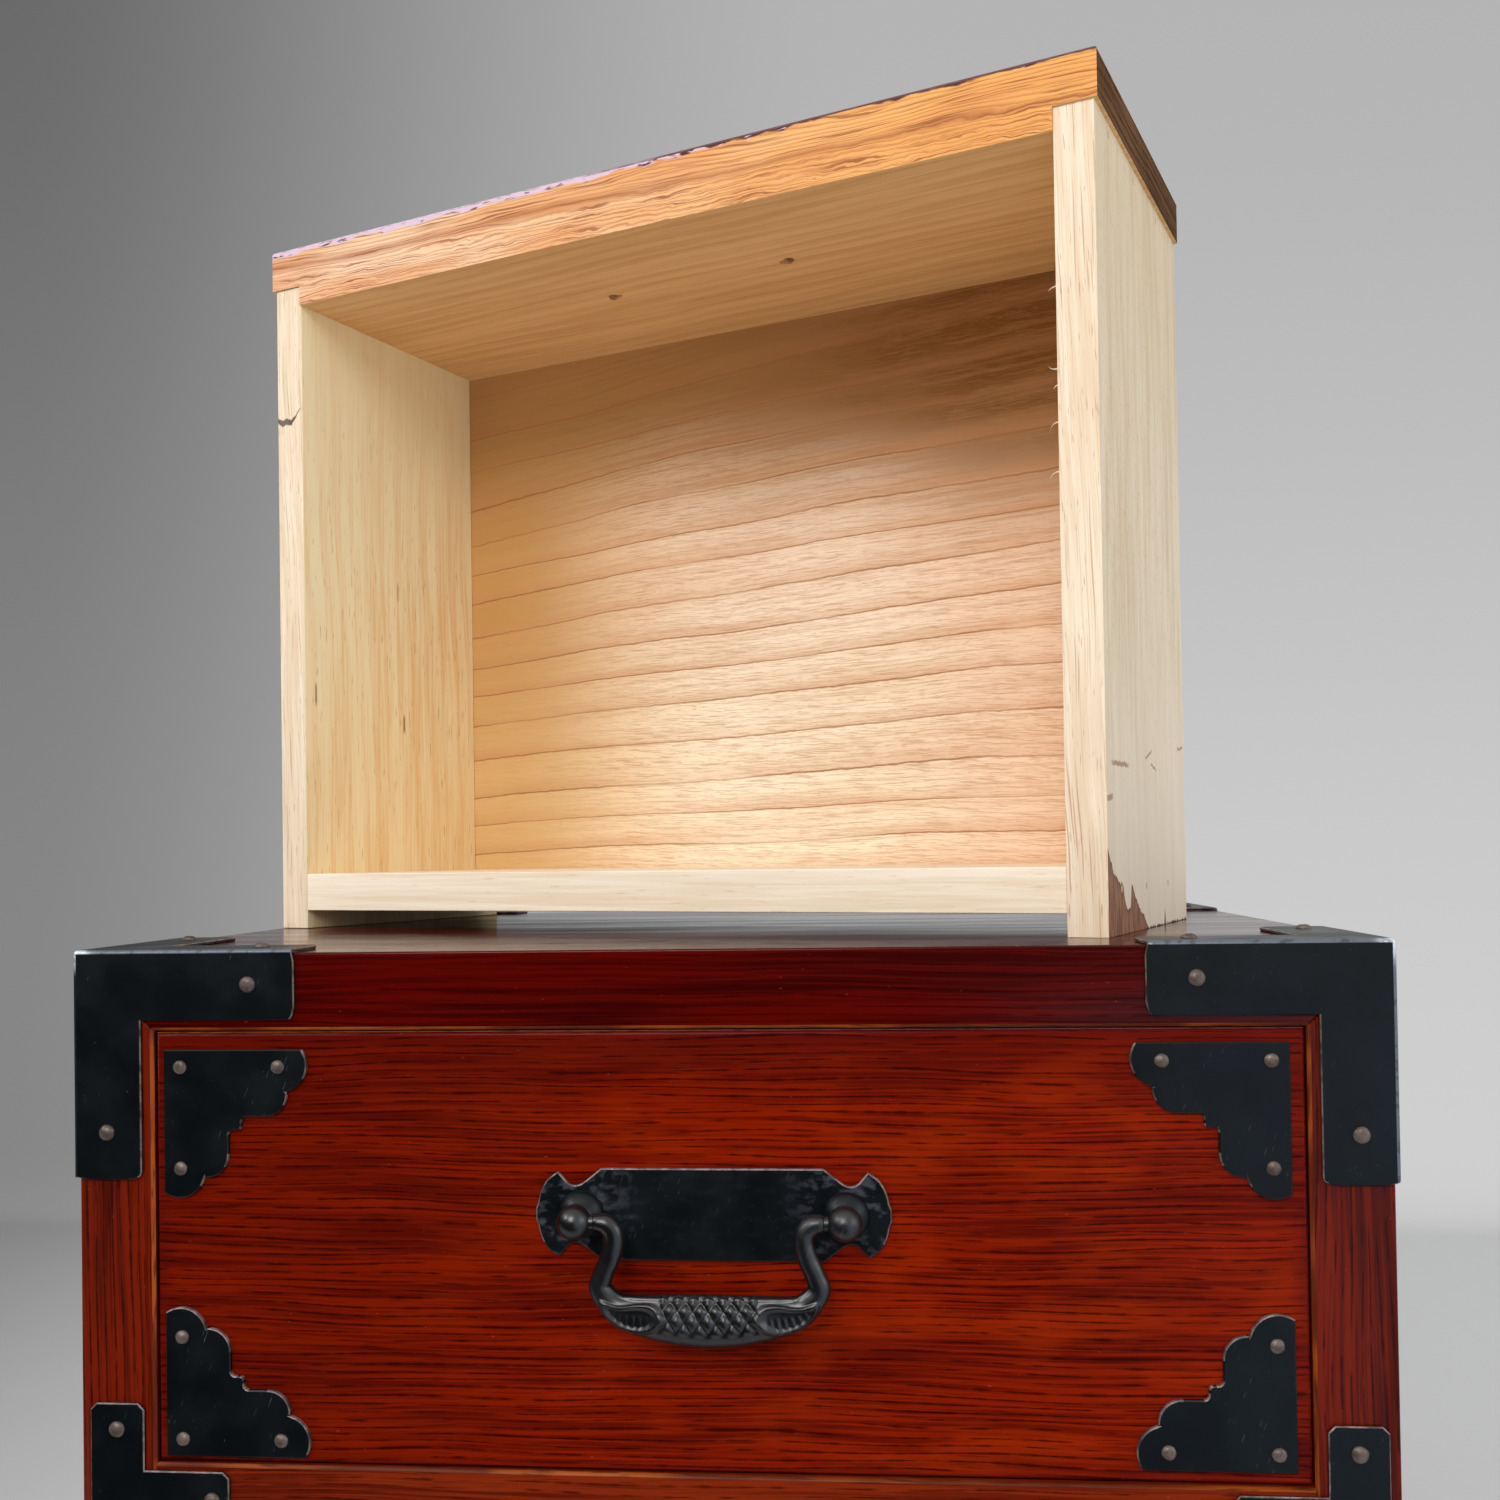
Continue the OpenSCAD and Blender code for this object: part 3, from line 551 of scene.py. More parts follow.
def fold_iron_painted_highlights():
    """The caps' outer folds: dark at the left; a painted reflection greys the right, painted
    highlights light the top and its corners.
    """
    net = Look("sheet_iron_fold_painted_highlights", (34, 38, 44))
    x, y, z = net.mm()
    top = CASE_TOP / MM
    face = FACE_Y / MM
    grit = net.noise(x / 2, y / 2, z / 2, 3)
    # Painted highlight along the top edge, and a painted reflection that is lighter towards the
    # right
    net.paint(z.ramp(top - 2, top - 0.5).most(x.ramp(0, 140)), (100, 106, 116))
    # Painted white highlights at the top outer corners
    out = (abs(x) - 140 + grit * 4).ramp(6, 11)
    up = (z - (top - 9) + grit * 4).ramp(5, 10)
    net.paint(out * up * y.ramp(face + 12, face + 3), (214, 220, 228))
    net.paint(grit.ramp(0.52, 0.64, 0, 0.5), (30, 34, 40))
    net.bump(grit, 0.04, 0.5)
    return net.finish(0.32, 0.5, 0.45)


# Light, deep and pore or fleck colours
TOP_COLOURS = ((82, 5, 1), (52, 1, 0), (32, 0, 0))
SIDE_COLOURS = ((106, 24, 5), (70, 12, 3), (36, 4, 2))
RAIL_COLOURS = ((120, 36, 9), (84, 17, 4), (50, 6, 2))
FRONT_COLOURS = ((126, 24, 0), (82, 8, 0), (34, 0, 0))
END_COLOURS = ((120, 84, 54), (84, 54, 32), (46, 26, 16))
PALE = ((243, 225, 199), (214, 189, 151), (190, 150, 110))
SUNNY = ((255, 246, 208), (240, 205, 150), (204, 156, 104))
BACK = ((252, 237, 215), (238, 217, 188), (216, 176, 138))
HONEY = ((232, 192, 140), (212, 166, 112), (172, 120, 74))
INNER = ((228, 200, 160), (204, 170, 126), (150, 110, 72))
PEG = ((226, 196, 154), (206, 172, 128), (150, 110, 70))
SHEET = ((3, 8, 12), (96, 98, 104), 0.32, 0.3)

M = {
    "case_top": lacquer("case_top_lacquer", "XYZ", *TOP_COLOURS, 0, rough=0.15, specular=0.19,
                        pores=0.45),
    "case_rail": lacquer("case_rail_lacquer", "XYZ", *RAIL_COLOURS, 60),
    "case_side": lacquer("case_side_lacquer", "ZYX", *SIDE_COLOURS, 40, specular=0.15),
    "front": lacquer("front_lacquer", "XYZ", *FRONT_COLOURS, 90, extra=front_border_and_painted_shade),
    "opening": opening_wood(),
    "rim": rim_wood_painted_highlight("front_rim", (176, 96, 48), (142, 84, 96), (84, 20, 16), -90, 60),
    "worn_rim_painted_highlight": rim_wood_painted_highlight("worn_front_rim_painted_highlight", (92, 50, 48), (214, 186, 204), (120, 84, 92), -15, 30),
    "front_edge": front_edge_wood(),
    "front_end": lacquer("front_end_lacquer", "ZYX", *END_COLOURS, 20, rough=0.65, specular=0.03),
    "front_inner": pale_wood("front_inner_wood", "XYZ", *HONEY, 12, ring=4, flecks=0.3),
    "side": pale_wood("drawer_side_wood", "YXZ", *PALE, 0, rings=0.1, speckle=0.3),
    "side_stained": pale_wood("stained_side_wood", "YXZ", *PALE, 5, marks=stained,
                              rings=0.1, speckle=0.3),
    "side_inner": pale_wood("inner_side_wood", "YXZ", *SUNNY, 14, marks=golden, rings=0.2),
    "side_specked": pale_wood("specked_side_wood", "YXZ", *SUNNY, 14, marks=specked, rings=0.2),
    "mouth": mouth_wood("mouth_edge_wood", 4),
    "mouth_scuffed": mouth_wood("scuffed_edge_wood", 31, scuffed),
    "back": pale_wood("drawer_back_wood", "XYZ", *BACK, 33, flecks=0.4),
    "panel": panel_wood(),
    "peg": pale_wood("peg_wood", "XYZ", *PEG, 21),
    "inner": pale_wood("inner_softwood", "ZYX", *INNER, 8, ring=8),
    "shelf": pale_wood("shelf_softwood", "XYZ", *INNER, 18, ring=8),
    "iron": iron("sheet_iron", *SHEET),
    "scuffed_iron": iron("scuffed_sheet_iron", *SHEET, scuffs=0.45),
    "fold": fold_iron_painted_highlights(),
    "worn": worn_iron("sheet_iron_worn", (130, 110, 108), (72, 58, 57), 0.85),
    # A darker copy of the rubbed iron: painted shade for rubbed outlines that face sideways
    "worn_painted_shade": worn_iron("sheet_iron_worn_painted_shade", (104, 90, 80), (46, 41, 40), 0.8),
    "nail": worn_iron("nail_iron", (109, 93, 87), (79, 67, 62), 0.35, 0.4, 0.36),
    "cast": iron("cast_iron", (6, 7, 10), (90, 92, 100), 0.3, 0.75, 0.08),
    "clench": worn_iron("clench_iron", (190, 140, 92), (126, 84, 50), 0.3),
}


# Making and placing pieces


def welded_mesh(node, place):
    """A CAD node's mesh in a local frame, with its corners welded."""
    bm = bmesh.new()
    bm.from_mesh(frame["nodes"][node].data)
    bmesh.ops.transform(bm, matrix=place.inverted(), verts=bm.verts)
    bmesh.ops.remove_doubles(bm, verts=bm.verts, dist=WELD)
    return bm


def node_mesh(node, place=HERE):
    """A CAD node's mesh in a local frame, with its flat faces made whole."""
    bm = welded_mesh(node, place)
    bmesh.ops.dissolve_limit(bm, angle_limit=FLAT, verts=bm.verts, edges=bm.edges)
    bm.normal_update()
    return bm


def shown(name, data):
    """A new object in the scene."""
    obj = bpy.data.objects.new(name, data)
    bpy.context.scene.collection.objects.link(obj)
    return obj


def mesh_object(name, bm):
    mesh = bpy.data.meshes.new(name)
    bm.to_mesh(mesh)
    bm.free()
    return shown(name, mesh)


def piece(node, bm, body, materials, place=HERE, sharp=40):
    """The shown piece that stands for a CAD node and rides on its body."""
    obj = mesh_object(f"{node}.look", bm)
    for key in materials:
        obj.data.materials.append(M[key])
    obj.data.shade_smooth()
    obj.data.set_sharp_from_angle(angle=math.radians(sharp))
    obj.matrix_world = place
    obj.modifiers.new("normals", "WEIGHTED_NORMAL").keep_sharp = True
    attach(obj, body)
    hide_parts(node)
    return obj


def drawer_piece(name, part, bm, materials, sharp=40):
    """A piece that rides on its drawer and is modelled in the drawer's frame."""
    body = f"{name}_drawer"
    return piece(f"{body}_{part}", bm, body, materials, LOCAL[name], sharp)


def square_edges(bm, shortest=3 * MM, low=75, high=105):
    """The mesh's long convex edges between faces that meet at about a right angle."""
    return [e for e in bm.edges
            if len(e.link_faces) == 2 and e.is_convex and e.calc_length() >= shortest
            and low <= math.degrees(e.calc_face_angle(0)) <= high]


def round_edges(bm, edges, width, segments=2, material=-1, clamp=True):
    if edges:
        bmesh.ops.bevel(
            bm, geom=edges, offset=width, offset_type="OFFSET", segments=segments,
            profile=0.5, affect="EDGES", clamp_overlap=clamp, material=material)


def middle(edge):
    return (edge.verts[0].co + edge.verts[1].co) / 2


def skin(bm, rings, material=0):
    """Faces of a material from ring to ring, and a plain face on either end."""
    for one, two in zip(rings, rings[1:]):
        for i in range(len(one)):
            j = (i + 1) % len(one)
            bm.faces.new((one[i], one[j], two[j], two[i])).material_index = material
    bm.faces.new(rings[-1])
    bm.faces.new(list(reversed(rings[0])))


def turned(bm, profile, sides, place):
    """Turns a profile of radius and height, in mm, round the Z axis of place."""
    turns = [math.tau * i / sides for i in range(sides)]
    skin(bm, [[bm.verts.new(place @ Vector((
        radius * MM * math.cos(a), radius * MM * math.sin(a), height * MM)))
        for a in turns] for radius, height in profile])


# Case boards

BOARD_ROUND = 0.5 * MM
INNER_ROUND = 0.3 * MM
BOARD_T = 18 * MM
OPENING_BEVEL = 0.75 * MM
LACQUERED = {
    "case_side_left": "case_side", "case_side_right": "case_side", "case_top": "case_top",
    "case_bottom": "case_rail", "rail_upper": "case_rail", "rail_lower": "case_rail"}
BARE = {"case_back": "inner", "shelf_upper": "shelf", "shelf_lower": "shelf"}


def at_opening(edge, rail):
    """Whether an edge is a front edge of the case beside, over or under a drawer."""
    m = middle(edge)
    along = (edge.verts[0].co - edge.verts[1].co).normalized()
    if abs(m.y - FACE_Y) > 0.05 * MM:
        return False
    if abs(along.z) > 0.9:
        return not rail and abs(abs(m.x) - abs(BAY_LEFT)) < 0.05 * MM
    inside = BOARD_T - 1 * MM < m.z < CASE_TOP - BOARD_T + 1 * MM
    return abs(along.x) > 0.9 and inside


for node, material in LACQUERED.items():
    bm = node_mesh(node)
    opening = [e for e in square_edges(bm) if at_opening(e, node.startswith("rail"))]
    round_edges(bm, opening, OPENING_BEVEL, 1, 1, False)
    round_edges(bm, square_edges(bm), BOARD_ROUND)
    piece(node, bm, "case", (material, "opening"))
for node, material in BARE.items():
    bm = node_mesh(node)
    round_edges(bm, square_edges(bm), INNER_ROUND, 1)
    piece(node, bm, "case", (material,))


# Sheet iron on the case

FOLD_ROUND = 0.9 * MM
SHEET_ROUND = 0.28 * MM
CORNER_ROUND = 1.1 * MM
SHEET_LOOKS = ("iron", "fold", "worn", "worn_painted_shade")
# Their places in that list
FOLD, WORN, WORN_PAINTED_SHADE = 1, 2, 3


def sheet_iron(node, folds=None):
    """Sheet fittings: rounded folds, rounded outline corners and a rubbed outer outline, which
    painted shade dims or hides on low faces that face sideways or down.
    """
    bm = node_mesh(node)
    if folds:
        corners = [e for e in square_edges(bm, 0, 30, 110)
                   if 0.8 * MM < e.calc_length() < 1.3 * MM]
        round_edges(bm, corners, CORNER_ROUND, 3)
        round_edges(bm, [e for e in square_edges(bm) if folds(e)], FOLD_ROUND, 4, FOLD)
        rims = [e for e in square_edges(bm, 0.2 * MM) if e.calc_length() < 60 * MM]
    else:
        rims = square_edges(bm, 1.0 * MM)
    rims = [e for e in rims if all(f.material_index == 0 for f in e.link_faces)]
    round_edges(bm, rims, SHEET_ROUND, 1, WORN, bool(folds))
    # Painted shade: low rubbed outlines turn to a darker copy where they face sideways, and to
    # plain iron where they face down
    for f in bm.faces:
        low = f.calc_center_median().z < CASE_TOP and f.normal.z < 0.3
        if f.material_index == WORN and low:
            f.material_index = WORN_PAINTED_SHADE if abs(f.normal.x) > 0.3 else 0
    piece(node, bm, "case", SHEET_LOOKS)


def cap_fold(corner):
    """Finds the outer folds of the cap at a corner: edges on two of its three outer planes."""
    low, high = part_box(corner)
    x = high.x if (low.x + high.x) > 0 else low.x
    y = high.y if (low.y + high.y) > 0 else low.y
    z = high.z if (low.z + high.z) / 2 > CASE_TOP / 2 else low.z

    def on_fold(edge):
        m = middle(edge)
        return sum(abs(a - b) < 0.02 * MM for a, b in zip(m, (x, y, z))) == 2
    return on_fold


for node in sorted(frame["nodes"]):
    if node.startswith("cap_"):
        sheet_iron(node, cap_fold(node))
    elif node.startswith("rail_plate_"):
        sheet_iron(node)


# Scalloped corner plates and handle plates, drawn with rounder arcs than the frame's, in mm

PLATE_T = 1.0 * MM
PLATE_LEG = 34.3
# Side, and the distances from the front's end, upper edge and lower edge
PLATE_PLACES = ((-1, 2.4, 4.0, 1.5), (1, 3.4, 3.0, 3.0))
# Middle, radius, and start and end in degrees
PLATE_LOBES = ((27.9, 3.6, 6.1, -36, 81), (24.1, 10.1, 5.2, -4, 92))
PLATE_TIP = ((19.5, 15.3), (18.9, 15.5), (18.5, 16.0), (18.4, 16.8), (18.4, 17.6), (18.2, 18.2))
HPLATE_QUARTER = (
    (24.8, 10.3), (26.6, 8.8), (28.4, 7.4), (29.1, 6.9), (29.8, 6.6), (30.5, 6.45), (31.2, 6.5),
    (31.9, 6.75), (32.5, 7.2), (33.4, 8.3), (34.5, 9.5), (35.0, 9.2), (35.6, 8.8), (36.4, 8.2),
    (37.1, 7.5), (37.8, 6.4), (38.4, 5.1), (38.75, 3.9), (39.0, 2.6), (39.5, 1.3))
HPLATE_STRETCH = 80.5 / 79
HPLATE_AT = Matrix(((1, 0, 0, 0), (0, 0, -1, 0), (0, 1, 0, PIN_UP), (0, 0, 0, 1)))
ARC_STEPS = 14


def arc(x, y, r, start, end):
    turns = (math.radians(start + (end - start) * i / ARC_STEPS) for i in range(ARC_STEPS + 1))
    return [(x + r * math.cos(a), y + r * math.sin(a)) for a in turns]


def corner_outline():
    half = [p for lobe in PLATE_LOBES for p in arc(*lobe)] + list(PLATE_TIP)
    mirrored = [(y, x) for x, y in reversed(half[:-1])]
    scale = PLATE_LEG / (PLATE_LOBES[0][0] + PLATE_LOBES[0][2])
    return [(x * scale, y * scale) for x, y in [(0, 0)] + half + mirrored]


def handle_outline():
    quarter = [(x * HPLATE_STRETCH, y) for x, y in HPLATE_QUARTER]
    half = quarter + [(x, -y) for x, y in reversed(quarter)]
    return half + [(-x, y) for x, y in reversed(half)]


def plate(bm, outline, place, plain_legs):
    """Adds a flat plate, outer face towards +Z of place, with a rubbed outline: full on upward
    outlines, dimmed by painted shade on side outlines and hidden by it on lower ones.
    """
    face = bm.faces.new([bm.verts.new(place @ Vector((x * MM, y * MM, 0))) for x, y in outline])
    normal = (place.to_3x3() @ Vector((0, 0, 1))).normalized()
    bm.normal_update()
    if face.normal.dot(normal) < 0:
        face.normal_flip()
    lifted = bmesh.ops.extrude_face_region(bm, geom=[face])["geom"]
    top = next(g for g in lifted if isinstance(g, bmesh.types.BMFace))
    rim = [f for e in top.edges for f in e.link_faces if f is not top]
    chamfer = SHEET_ROUND * 0.6
    bmesh.ops.translate(bm, vec=normal * (PLATE_T - chamfer), verts=top.verts[:])
    rim += bmesh.ops.inset_region(
        bm, faces=[top], thickness=SHEET_ROUND, depth=chamfer)["faces"]
    bm.normal_update()
    for f in rim:
        way = (f.normal - normal * f.normal.dot(normal)).normalized()
        if plain_legs and max(abs(way.x), abs(way.z)) > 0.9999:
            continue
        # Painted shade: the rubbed outline is a darker copy on side outlines and plain iron on
        # lower outlines
        f.material_index = WORN if way.z > 0.45 else WORN_PAINTED_SHADE if way.z > -0.5 else 0
    bmesh.ops.inset_region(bm, faces=[top], thickness=0.12 * MM, depth=0.0)


def plate_frames():
    """Frames of the four corner plates on a drawer's face: +X and +Y along the legs."""
    for side, side_in, top_in, low_in in PLATE_PLACES:
        x = side * (FRONT_HALF - side_in * MM)
        for up, z in ((1, low_in * MM), (-1, FRONT_H - top_in * MM)):
            yield Matrix(((-side, 0, 0, x), (0, 0, -1, 0), (0, up, 0, z), (0, 0, 0, 1)))


# Nails

# Shares of the head's radius, and of its height, from its base to its crown
NAIL_RINGS = ((0.97, 0.0), (0.98, 0.2), (0.9, 0.45), (0.74, 0.7), (0.49, 0.9), (0.24, 1.0))
NAIL_SIDES = 20
NAIL_H = 0.58
HEAD_SHARE = 0.9
SHANK_HALF = 0.63 * MM
SHANK_TIP = 0.15
SHANK_L = 7.0 * MM


def nail_places(node, place):
    """Each nail of a CAD node: the middle of its head's base, its outward axis and radius."""
    bm = welded_mesh(node, place)
    left = set(bm.verts)
    found = []
    while left:
        group, front = set(), {left.pop()}
        while front:
            group |= front
            front = {e.other_vert(v) for v in front for e in v.link_edges} - group
        left -= group
        points = [v.co for v in group]
        low = Vector(map(min, zip(*points)))
        high = Vector(map(max, zip(*points)))
        size = high - low
        length = max(range(3), key=lambda i: size[i])
        axis = Vector([float(i == length) for i in range(3)])
        base = (low + high) / 2
        radius = max(size[i] for i in range(3) if i != length) / 2
        wide = [p[length] for p in points if (p - base).cross(axis).length > 0.9 * radius]
        outward = axis * (1 if wide[0] > base[length] else -1)
        base[length] = min(wide, key=lambda place: abs(place - base[length]))
        found.append((base, outward, radius))
    bm.free()
    return sorted(found, key=lambda item: tuple(round(c / MM, 2) for c in item[0]))


def add_nail(bm, base, outward, radius, rng):
    """A hand-forged nail: uneven domed head on a square, pointed shank."""
    turn = outward.to_track_quat("Z", "Y").to_matrix().to_4x4()
    spin = Matrix.Rotation(rng.uniform(0, math.tau), 4, "Z")
    place = Matrix.Translation(base) @ turn @ spin
    seed = Vector([rng.uniform(0, 50) for _ in range(3)])
    rings = []
    for share, height in NAIL_RINGS:
        ring = []
        for i in range(NAIL_SIDES):
            a = math.tau * i / NAIL_SIDES
            p = Vector((math.cos(a) * share, math.sin(a) * share, height))
            r = radius * share * (0.97 + 0.06 * noise.noise(p * 1.3 + seed))
            z = radius * NAIL_H * height * (0.9 + 0.16 * noise.noise(p * 0.9 - seed))
            ring.append(bm.verts.new(place @ Vector((math.cos(a) * r, math.sin(a) * r, z))))
        rings.append(ring)
    skin(bm, rings)
    square = [(SHANK_HALF, 0), (0, SHANK_HALF), (-SHANK_HALF, 0), (0, -SHANK_HALF)]
    skin(bm, [[bm.verts.new(place @ Vector((x * share, y * share, z))) for x, y in square]
              for share, z in ((SHANK_TIP, -SHANK_L), (1, 0.1 * MM))])


def nails(node, body, seed, place=HERE):
    rng = random.Random(seed)
    bm = bmesh.new()
    for base, outward, radius in nail_places(node, place):
        add_nail(bm, base, outward, radius * HEAD_SHARE, rng)
    piece(node, bm, body, ("nail",), place, 50)


nails("case_nails", "case", 11)


# Drawer boards

FRONT_ROUND = 0.3 * MM
RIM_ROUND = 0.24 * MM
LIP_T = 12.6 * MM
SIDE_ROUND = 0.35 * MM


def drawer_front(name):
    """Lacquered face, bevel with a rubbed rim that carries a painted highlight, raw upper and
    lower edges, bare inner side.
    """
    bm = node_mesh(f"{name}_drawer_front", LOCAL[name])
    rim = [e for e in square_edges(bm, 3 * MM, 40, 50) if middle(e).y > 0.3 * MM]
    round_edges(bm, rim, RIM_ROUND, 1, 1)
    face = [e for e in square_edges(bm, 3 * MM, 40, 50) if middle(e).y < 0.1 * MM]
    round_edges(bm, face, FRONT_ROUND, 2)
    if name == "loose":
        for f in bm.faces:
            if f.calc_center_median().y < 1.5 * MM and -0.95 < f.normal.y < -0.3:
                f.material_index = 1
    inner = [e for e in square_edges(bm) if middle(e).y > 3 * MM]
    round_edges(bm, inner, FRONT_ROUND, 1)
    bm.normal_update()
    for f in bm.faces:
        depth = f.calc_center_median().y
        if f.material_index == 1 or (depth < 1.0 * MM and f.normal.y < -0.3):
            continue
        if f.normal.y > 0.5 or (abs(f.normal.x) > 0.9 and depth > LIP_T):
            f.material_index = 4
        elif abs(f.normal.z) > 0.9:
            f.material_index = 2
        elif abs(f.normal.x) > 0.9:
            f.material_index = 3
    rim_look = "worn_rim_painted_highlight" if name == "loose" else "rim"
    drawer_piece(name, "front", bm, ("front", rim_look, "front_edge", "front_end", "front_inner"))


def drawer_board(name, part, materials, extra=None):
    """A softwood board; a side has looks for its outer side, mouth edge and inner side."""
    bm = node_mesh(f"{name}_drawer_{part}", LOCAL[name])
    round_edges(bm, square_edges(bm), SIDE_ROUND, 2)
    if len(materials) > 1:
        inward = 1 if part == "side_left" else -1
        for f in bm.faces:
            if f.normal.z > 0.6:
                f.material_index = 1
            elif f.normal.x * inward > 0.6:
                f.material_index = 2
    if extra:
        extra(bm)
    drawer_piece(name, part, bm, materials)


# Torn splinters on the inner mouth edge of the lifted drawer's left side: y, length and curl
SPLINTERS = ((56, 2.6, 0.5), (76, 2.9, -0.6), (80, 1.7, 0.8), (89, 2.7, 0.9), (101, 3.0, 0.8))
SPLINTER_R = 0.26
SPLINTER_ROOT = 0.4
SPLINTER_DOWN = 0.9


def splinters(bm):
    """Small curled, pointed fibres that stand off the edge into the drawer's mouth."""
    for y, length, curl in SPLINTERS:
        rings = []
        for k in range(8):
            t = k / 7
            x = -SIDE_INNER_X - SPLINTER_ROOT + length * math.sin(t * 1.3)
            along = y + length * curl * (t * t - 0.3 * t)
            z = FRONT_H / MM - SPLINTER_DOWN - 0.5 * t
            r = SPLINTER_R * (1 - 0.85 * t)
            rings.append([bm.verts.new(Vector((
                x, along + r * math.cos(a), z + r * math.sin(a))) * MM)
                for a in (0.0, 2.1, 4.2)])
        skin(bm, rings, 1)


# Handle posts, turned from a profile of radius and distance from the drawer's face

POST_X = 30 * MM
POST_PROFILE = (
    (5.35, 1.0), (5.4, 1.5), (5.25, 2.1), (4.85, 2.75), (4.2, 3.4), (3.4, 3.95), (2.85, 4.35),
    (2.6, 4.8), (2.75, 5.3), (3.25, 6.1), (3.65, 7.05), (3.87, 8.0), (3.9, 8.6), (3.8, 9.45),
    (3.5, 10.3), (2.95, 11.05), (2.2, 11.7), (1.3, 12.15), (0.5, 12.37))
POST_SIDES = 40
# Length, width and thickness of the CAD's bent tips, and the share of them that shows
CLENCH = (4.0 * MM, 2.4 * MM, 0.9 * MM)
CLENCH_SHARE = 0.72
COLLAR_TOP = 4.5 * MM
BORE = ((1.65, -1.5), (1.65, 8.0))
BORE_SIDES = 24


def handle_posts(name):
    """Two domed collars with drilled balls; their shanks are bent over inside the drawer."""
    bm = bmesh.new()
    cutter = bmesh.new()
    back = (FRONT_T + CLENCH[2]) / MM
    shank = ((0.5, -back), (1.1, -back + 0.2), (1.55, -back + 0.9), (1.5, 0.0), (1.5, 0.99))
    for side in (-1, 1):
        at = Matrix.Translation((side * POST_X, 0, PIN_UP)) @ Matrix.Rotation(math.pi / 2, 4, "X")
        turned(bm, shank + POST_PROFILE, POST_SIDES, at)
        inward = Matrix.Translation((side * POST_X, -BALL_OUT, PIN_UP))
        inward = inward @ Matrix.Rotation(-side * math.pi / 2, 4, "Y")
        turned(cutter, BORE, BORE_SIDES, inward)
    posts = drawer_piece(name, "handle_posts", bm, ("cast",))
    tool = mesh_object("bore", cutter)
    tool.matrix_world = LOCAL[name]
    cut = posts.modifiers.new("bore", "BOOLEAN")
    cut.object = tool
    posts.modifiers.move(1, 0)
    bpy.context.view_layer.update()
    evaluated = posts.evaluated_get(bpy.context.evaluated_depsgraph_get())
    done = bpy.data.meshes.new_from_object(evaluated)
    posts.modifiers.clear()
    posts.data = done
    bpy.data.meshes.remove(tool.data)
    tips = bmesh.new()
    tips.from_mesh(done)
    for side in (-1, 1):
        bent_tip(tips, side)
    bmesh.ops.recalc_face_normals(tips, faces=tips.faces)
    for f in tips.faces:
        depth = f.calc_center_median().y
        if depth > FRONT_T - 1 * MM:
            f.material_index = 1
        elif depth > -COLLAR_TOP:
            f.material_index = 2
    tips.to_mesh(done)
    tips.free()
    done.materials.append(M["clench"])
    done.materials.append(M["iron"])


def bent_tip(bm, side):
    """The flattened end of a post's shank, bent over outwards on the front's inner face."""
    length, width, thick = (size * CLENCH_SHARE for size in CLENCH)
    rows = []
    for k in range(7):
        s = k / 6
        x = side * (POST_X - s * length)
        half = width / 2 * (1 - 0.6 * s * s)
        y = FRONT_T + thick * (1 - 0.5 * s ** 3)
        corners = ((FRONT_T, -half), (FRONT_T, half), (y, half * 0.7), (y, -half * 0.7))
        rows.append([bm.verts.new((x, depth, PIN_UP + z)) for depth, z in corners])
    skin(bm, rows)


# Cast bail: a skin swept along the arms and the grip, with leaves and scales on its front; mm

SHOULDER = 25.5
BAIL_DROP = 21.5
GRIP_HALF = 21.9
ARM_R = 2.25
GRIP_UP = 5.8
GRIP_OUT = 3.43
BAIL_LEAN = math.radians(10)
# Arm: distance inward from the shoulder, share of the drop, growth from arm to grip
ARM_ROWS = (
    (0, 0, -0.08), (1.2, 0, -0.06), (2.8, 0.02, 0), (4.2, 0.09, 0),
    (4.5, 0.2, 0), (3.6, 0.36, 0), (2.0, 0.53, 0.02), (1.3, 0.67, 0.08))
# Grip: share of its half length, share of the drop, growth from arm to grip
GRIP_ROWS = (
    (1, 0.82, 0.23), (0.85, 0.91, 0.47), (0.59, 0.96, 0.73), (0.27, 0.99, 0.93), (0, 1, 1))
BAIL_SIDES = 112
BAIL_STEP = 0.22
SCALE_REACH = 10.6
SCALE_EDGE = 0.8
SCALE_LONG = 3.5
SCALE_HIGH = 4.2
SCALE_HEIGHT = 0.85
LEAF_AT = 17.4
LEAF_HALF = 6.3
PIN_R = 1.6
PIN_PAST = 1.4
PIN_SIDES = 20


def bail_line():
    """Rows of x, z and growth along the whole bail, smoothed and evenly spaced."""
    half = [(SHOULDER - a, -BAIL_DROP * b, g) for a, b, g in ARM_ROWS]
    half += [(GRIP_HALF * a, -BAIL_DROP * b, g) for a, b, g in GRIP_ROWS]
    rows = [Vector(r) for r in half] + [Vector((-x, z, g)) for x, z, g in reversed(half[:-1])]
    dense = []
    for i in range(len(rows) - 1):
        p0, p1, p2, p3 = (rows[max(0, min(len(rows) - 1, i + k))] for k in (-1, 0, 1, 2))
        for k in range(24):
            t = k / 24
            dense.append(0.5 * (
                2 * p1 + (p2 - p0) * t + (2 * p0 - 5 * p1 + 4 * p2 - p3) * t * t
                + (3 * p1 - p0 - 3 * p2 + p3) * t ** 3))
    dense.append(rows[-1])
    spots = [0.0]
    for a, b in zip(dense, dense[1:]):
        spots.append(spots[-1] + (b.xy - a.xy).length)
    count = int(spots[-1] / BAIL_STEP)
    line, k = [], 0
    for i in range(count + 1):
        s = spots[-1] * i / count
        while k < len(spots) - 2 and spots[k + 1] < s:
            k += 1
        t = (s - spots[k]) / max(1e-9, spots[k + 1] - spots[k])
        line.append((s - spots[-1] / 2, dense[k].lerp(dense[k + 1], t)))
    return line


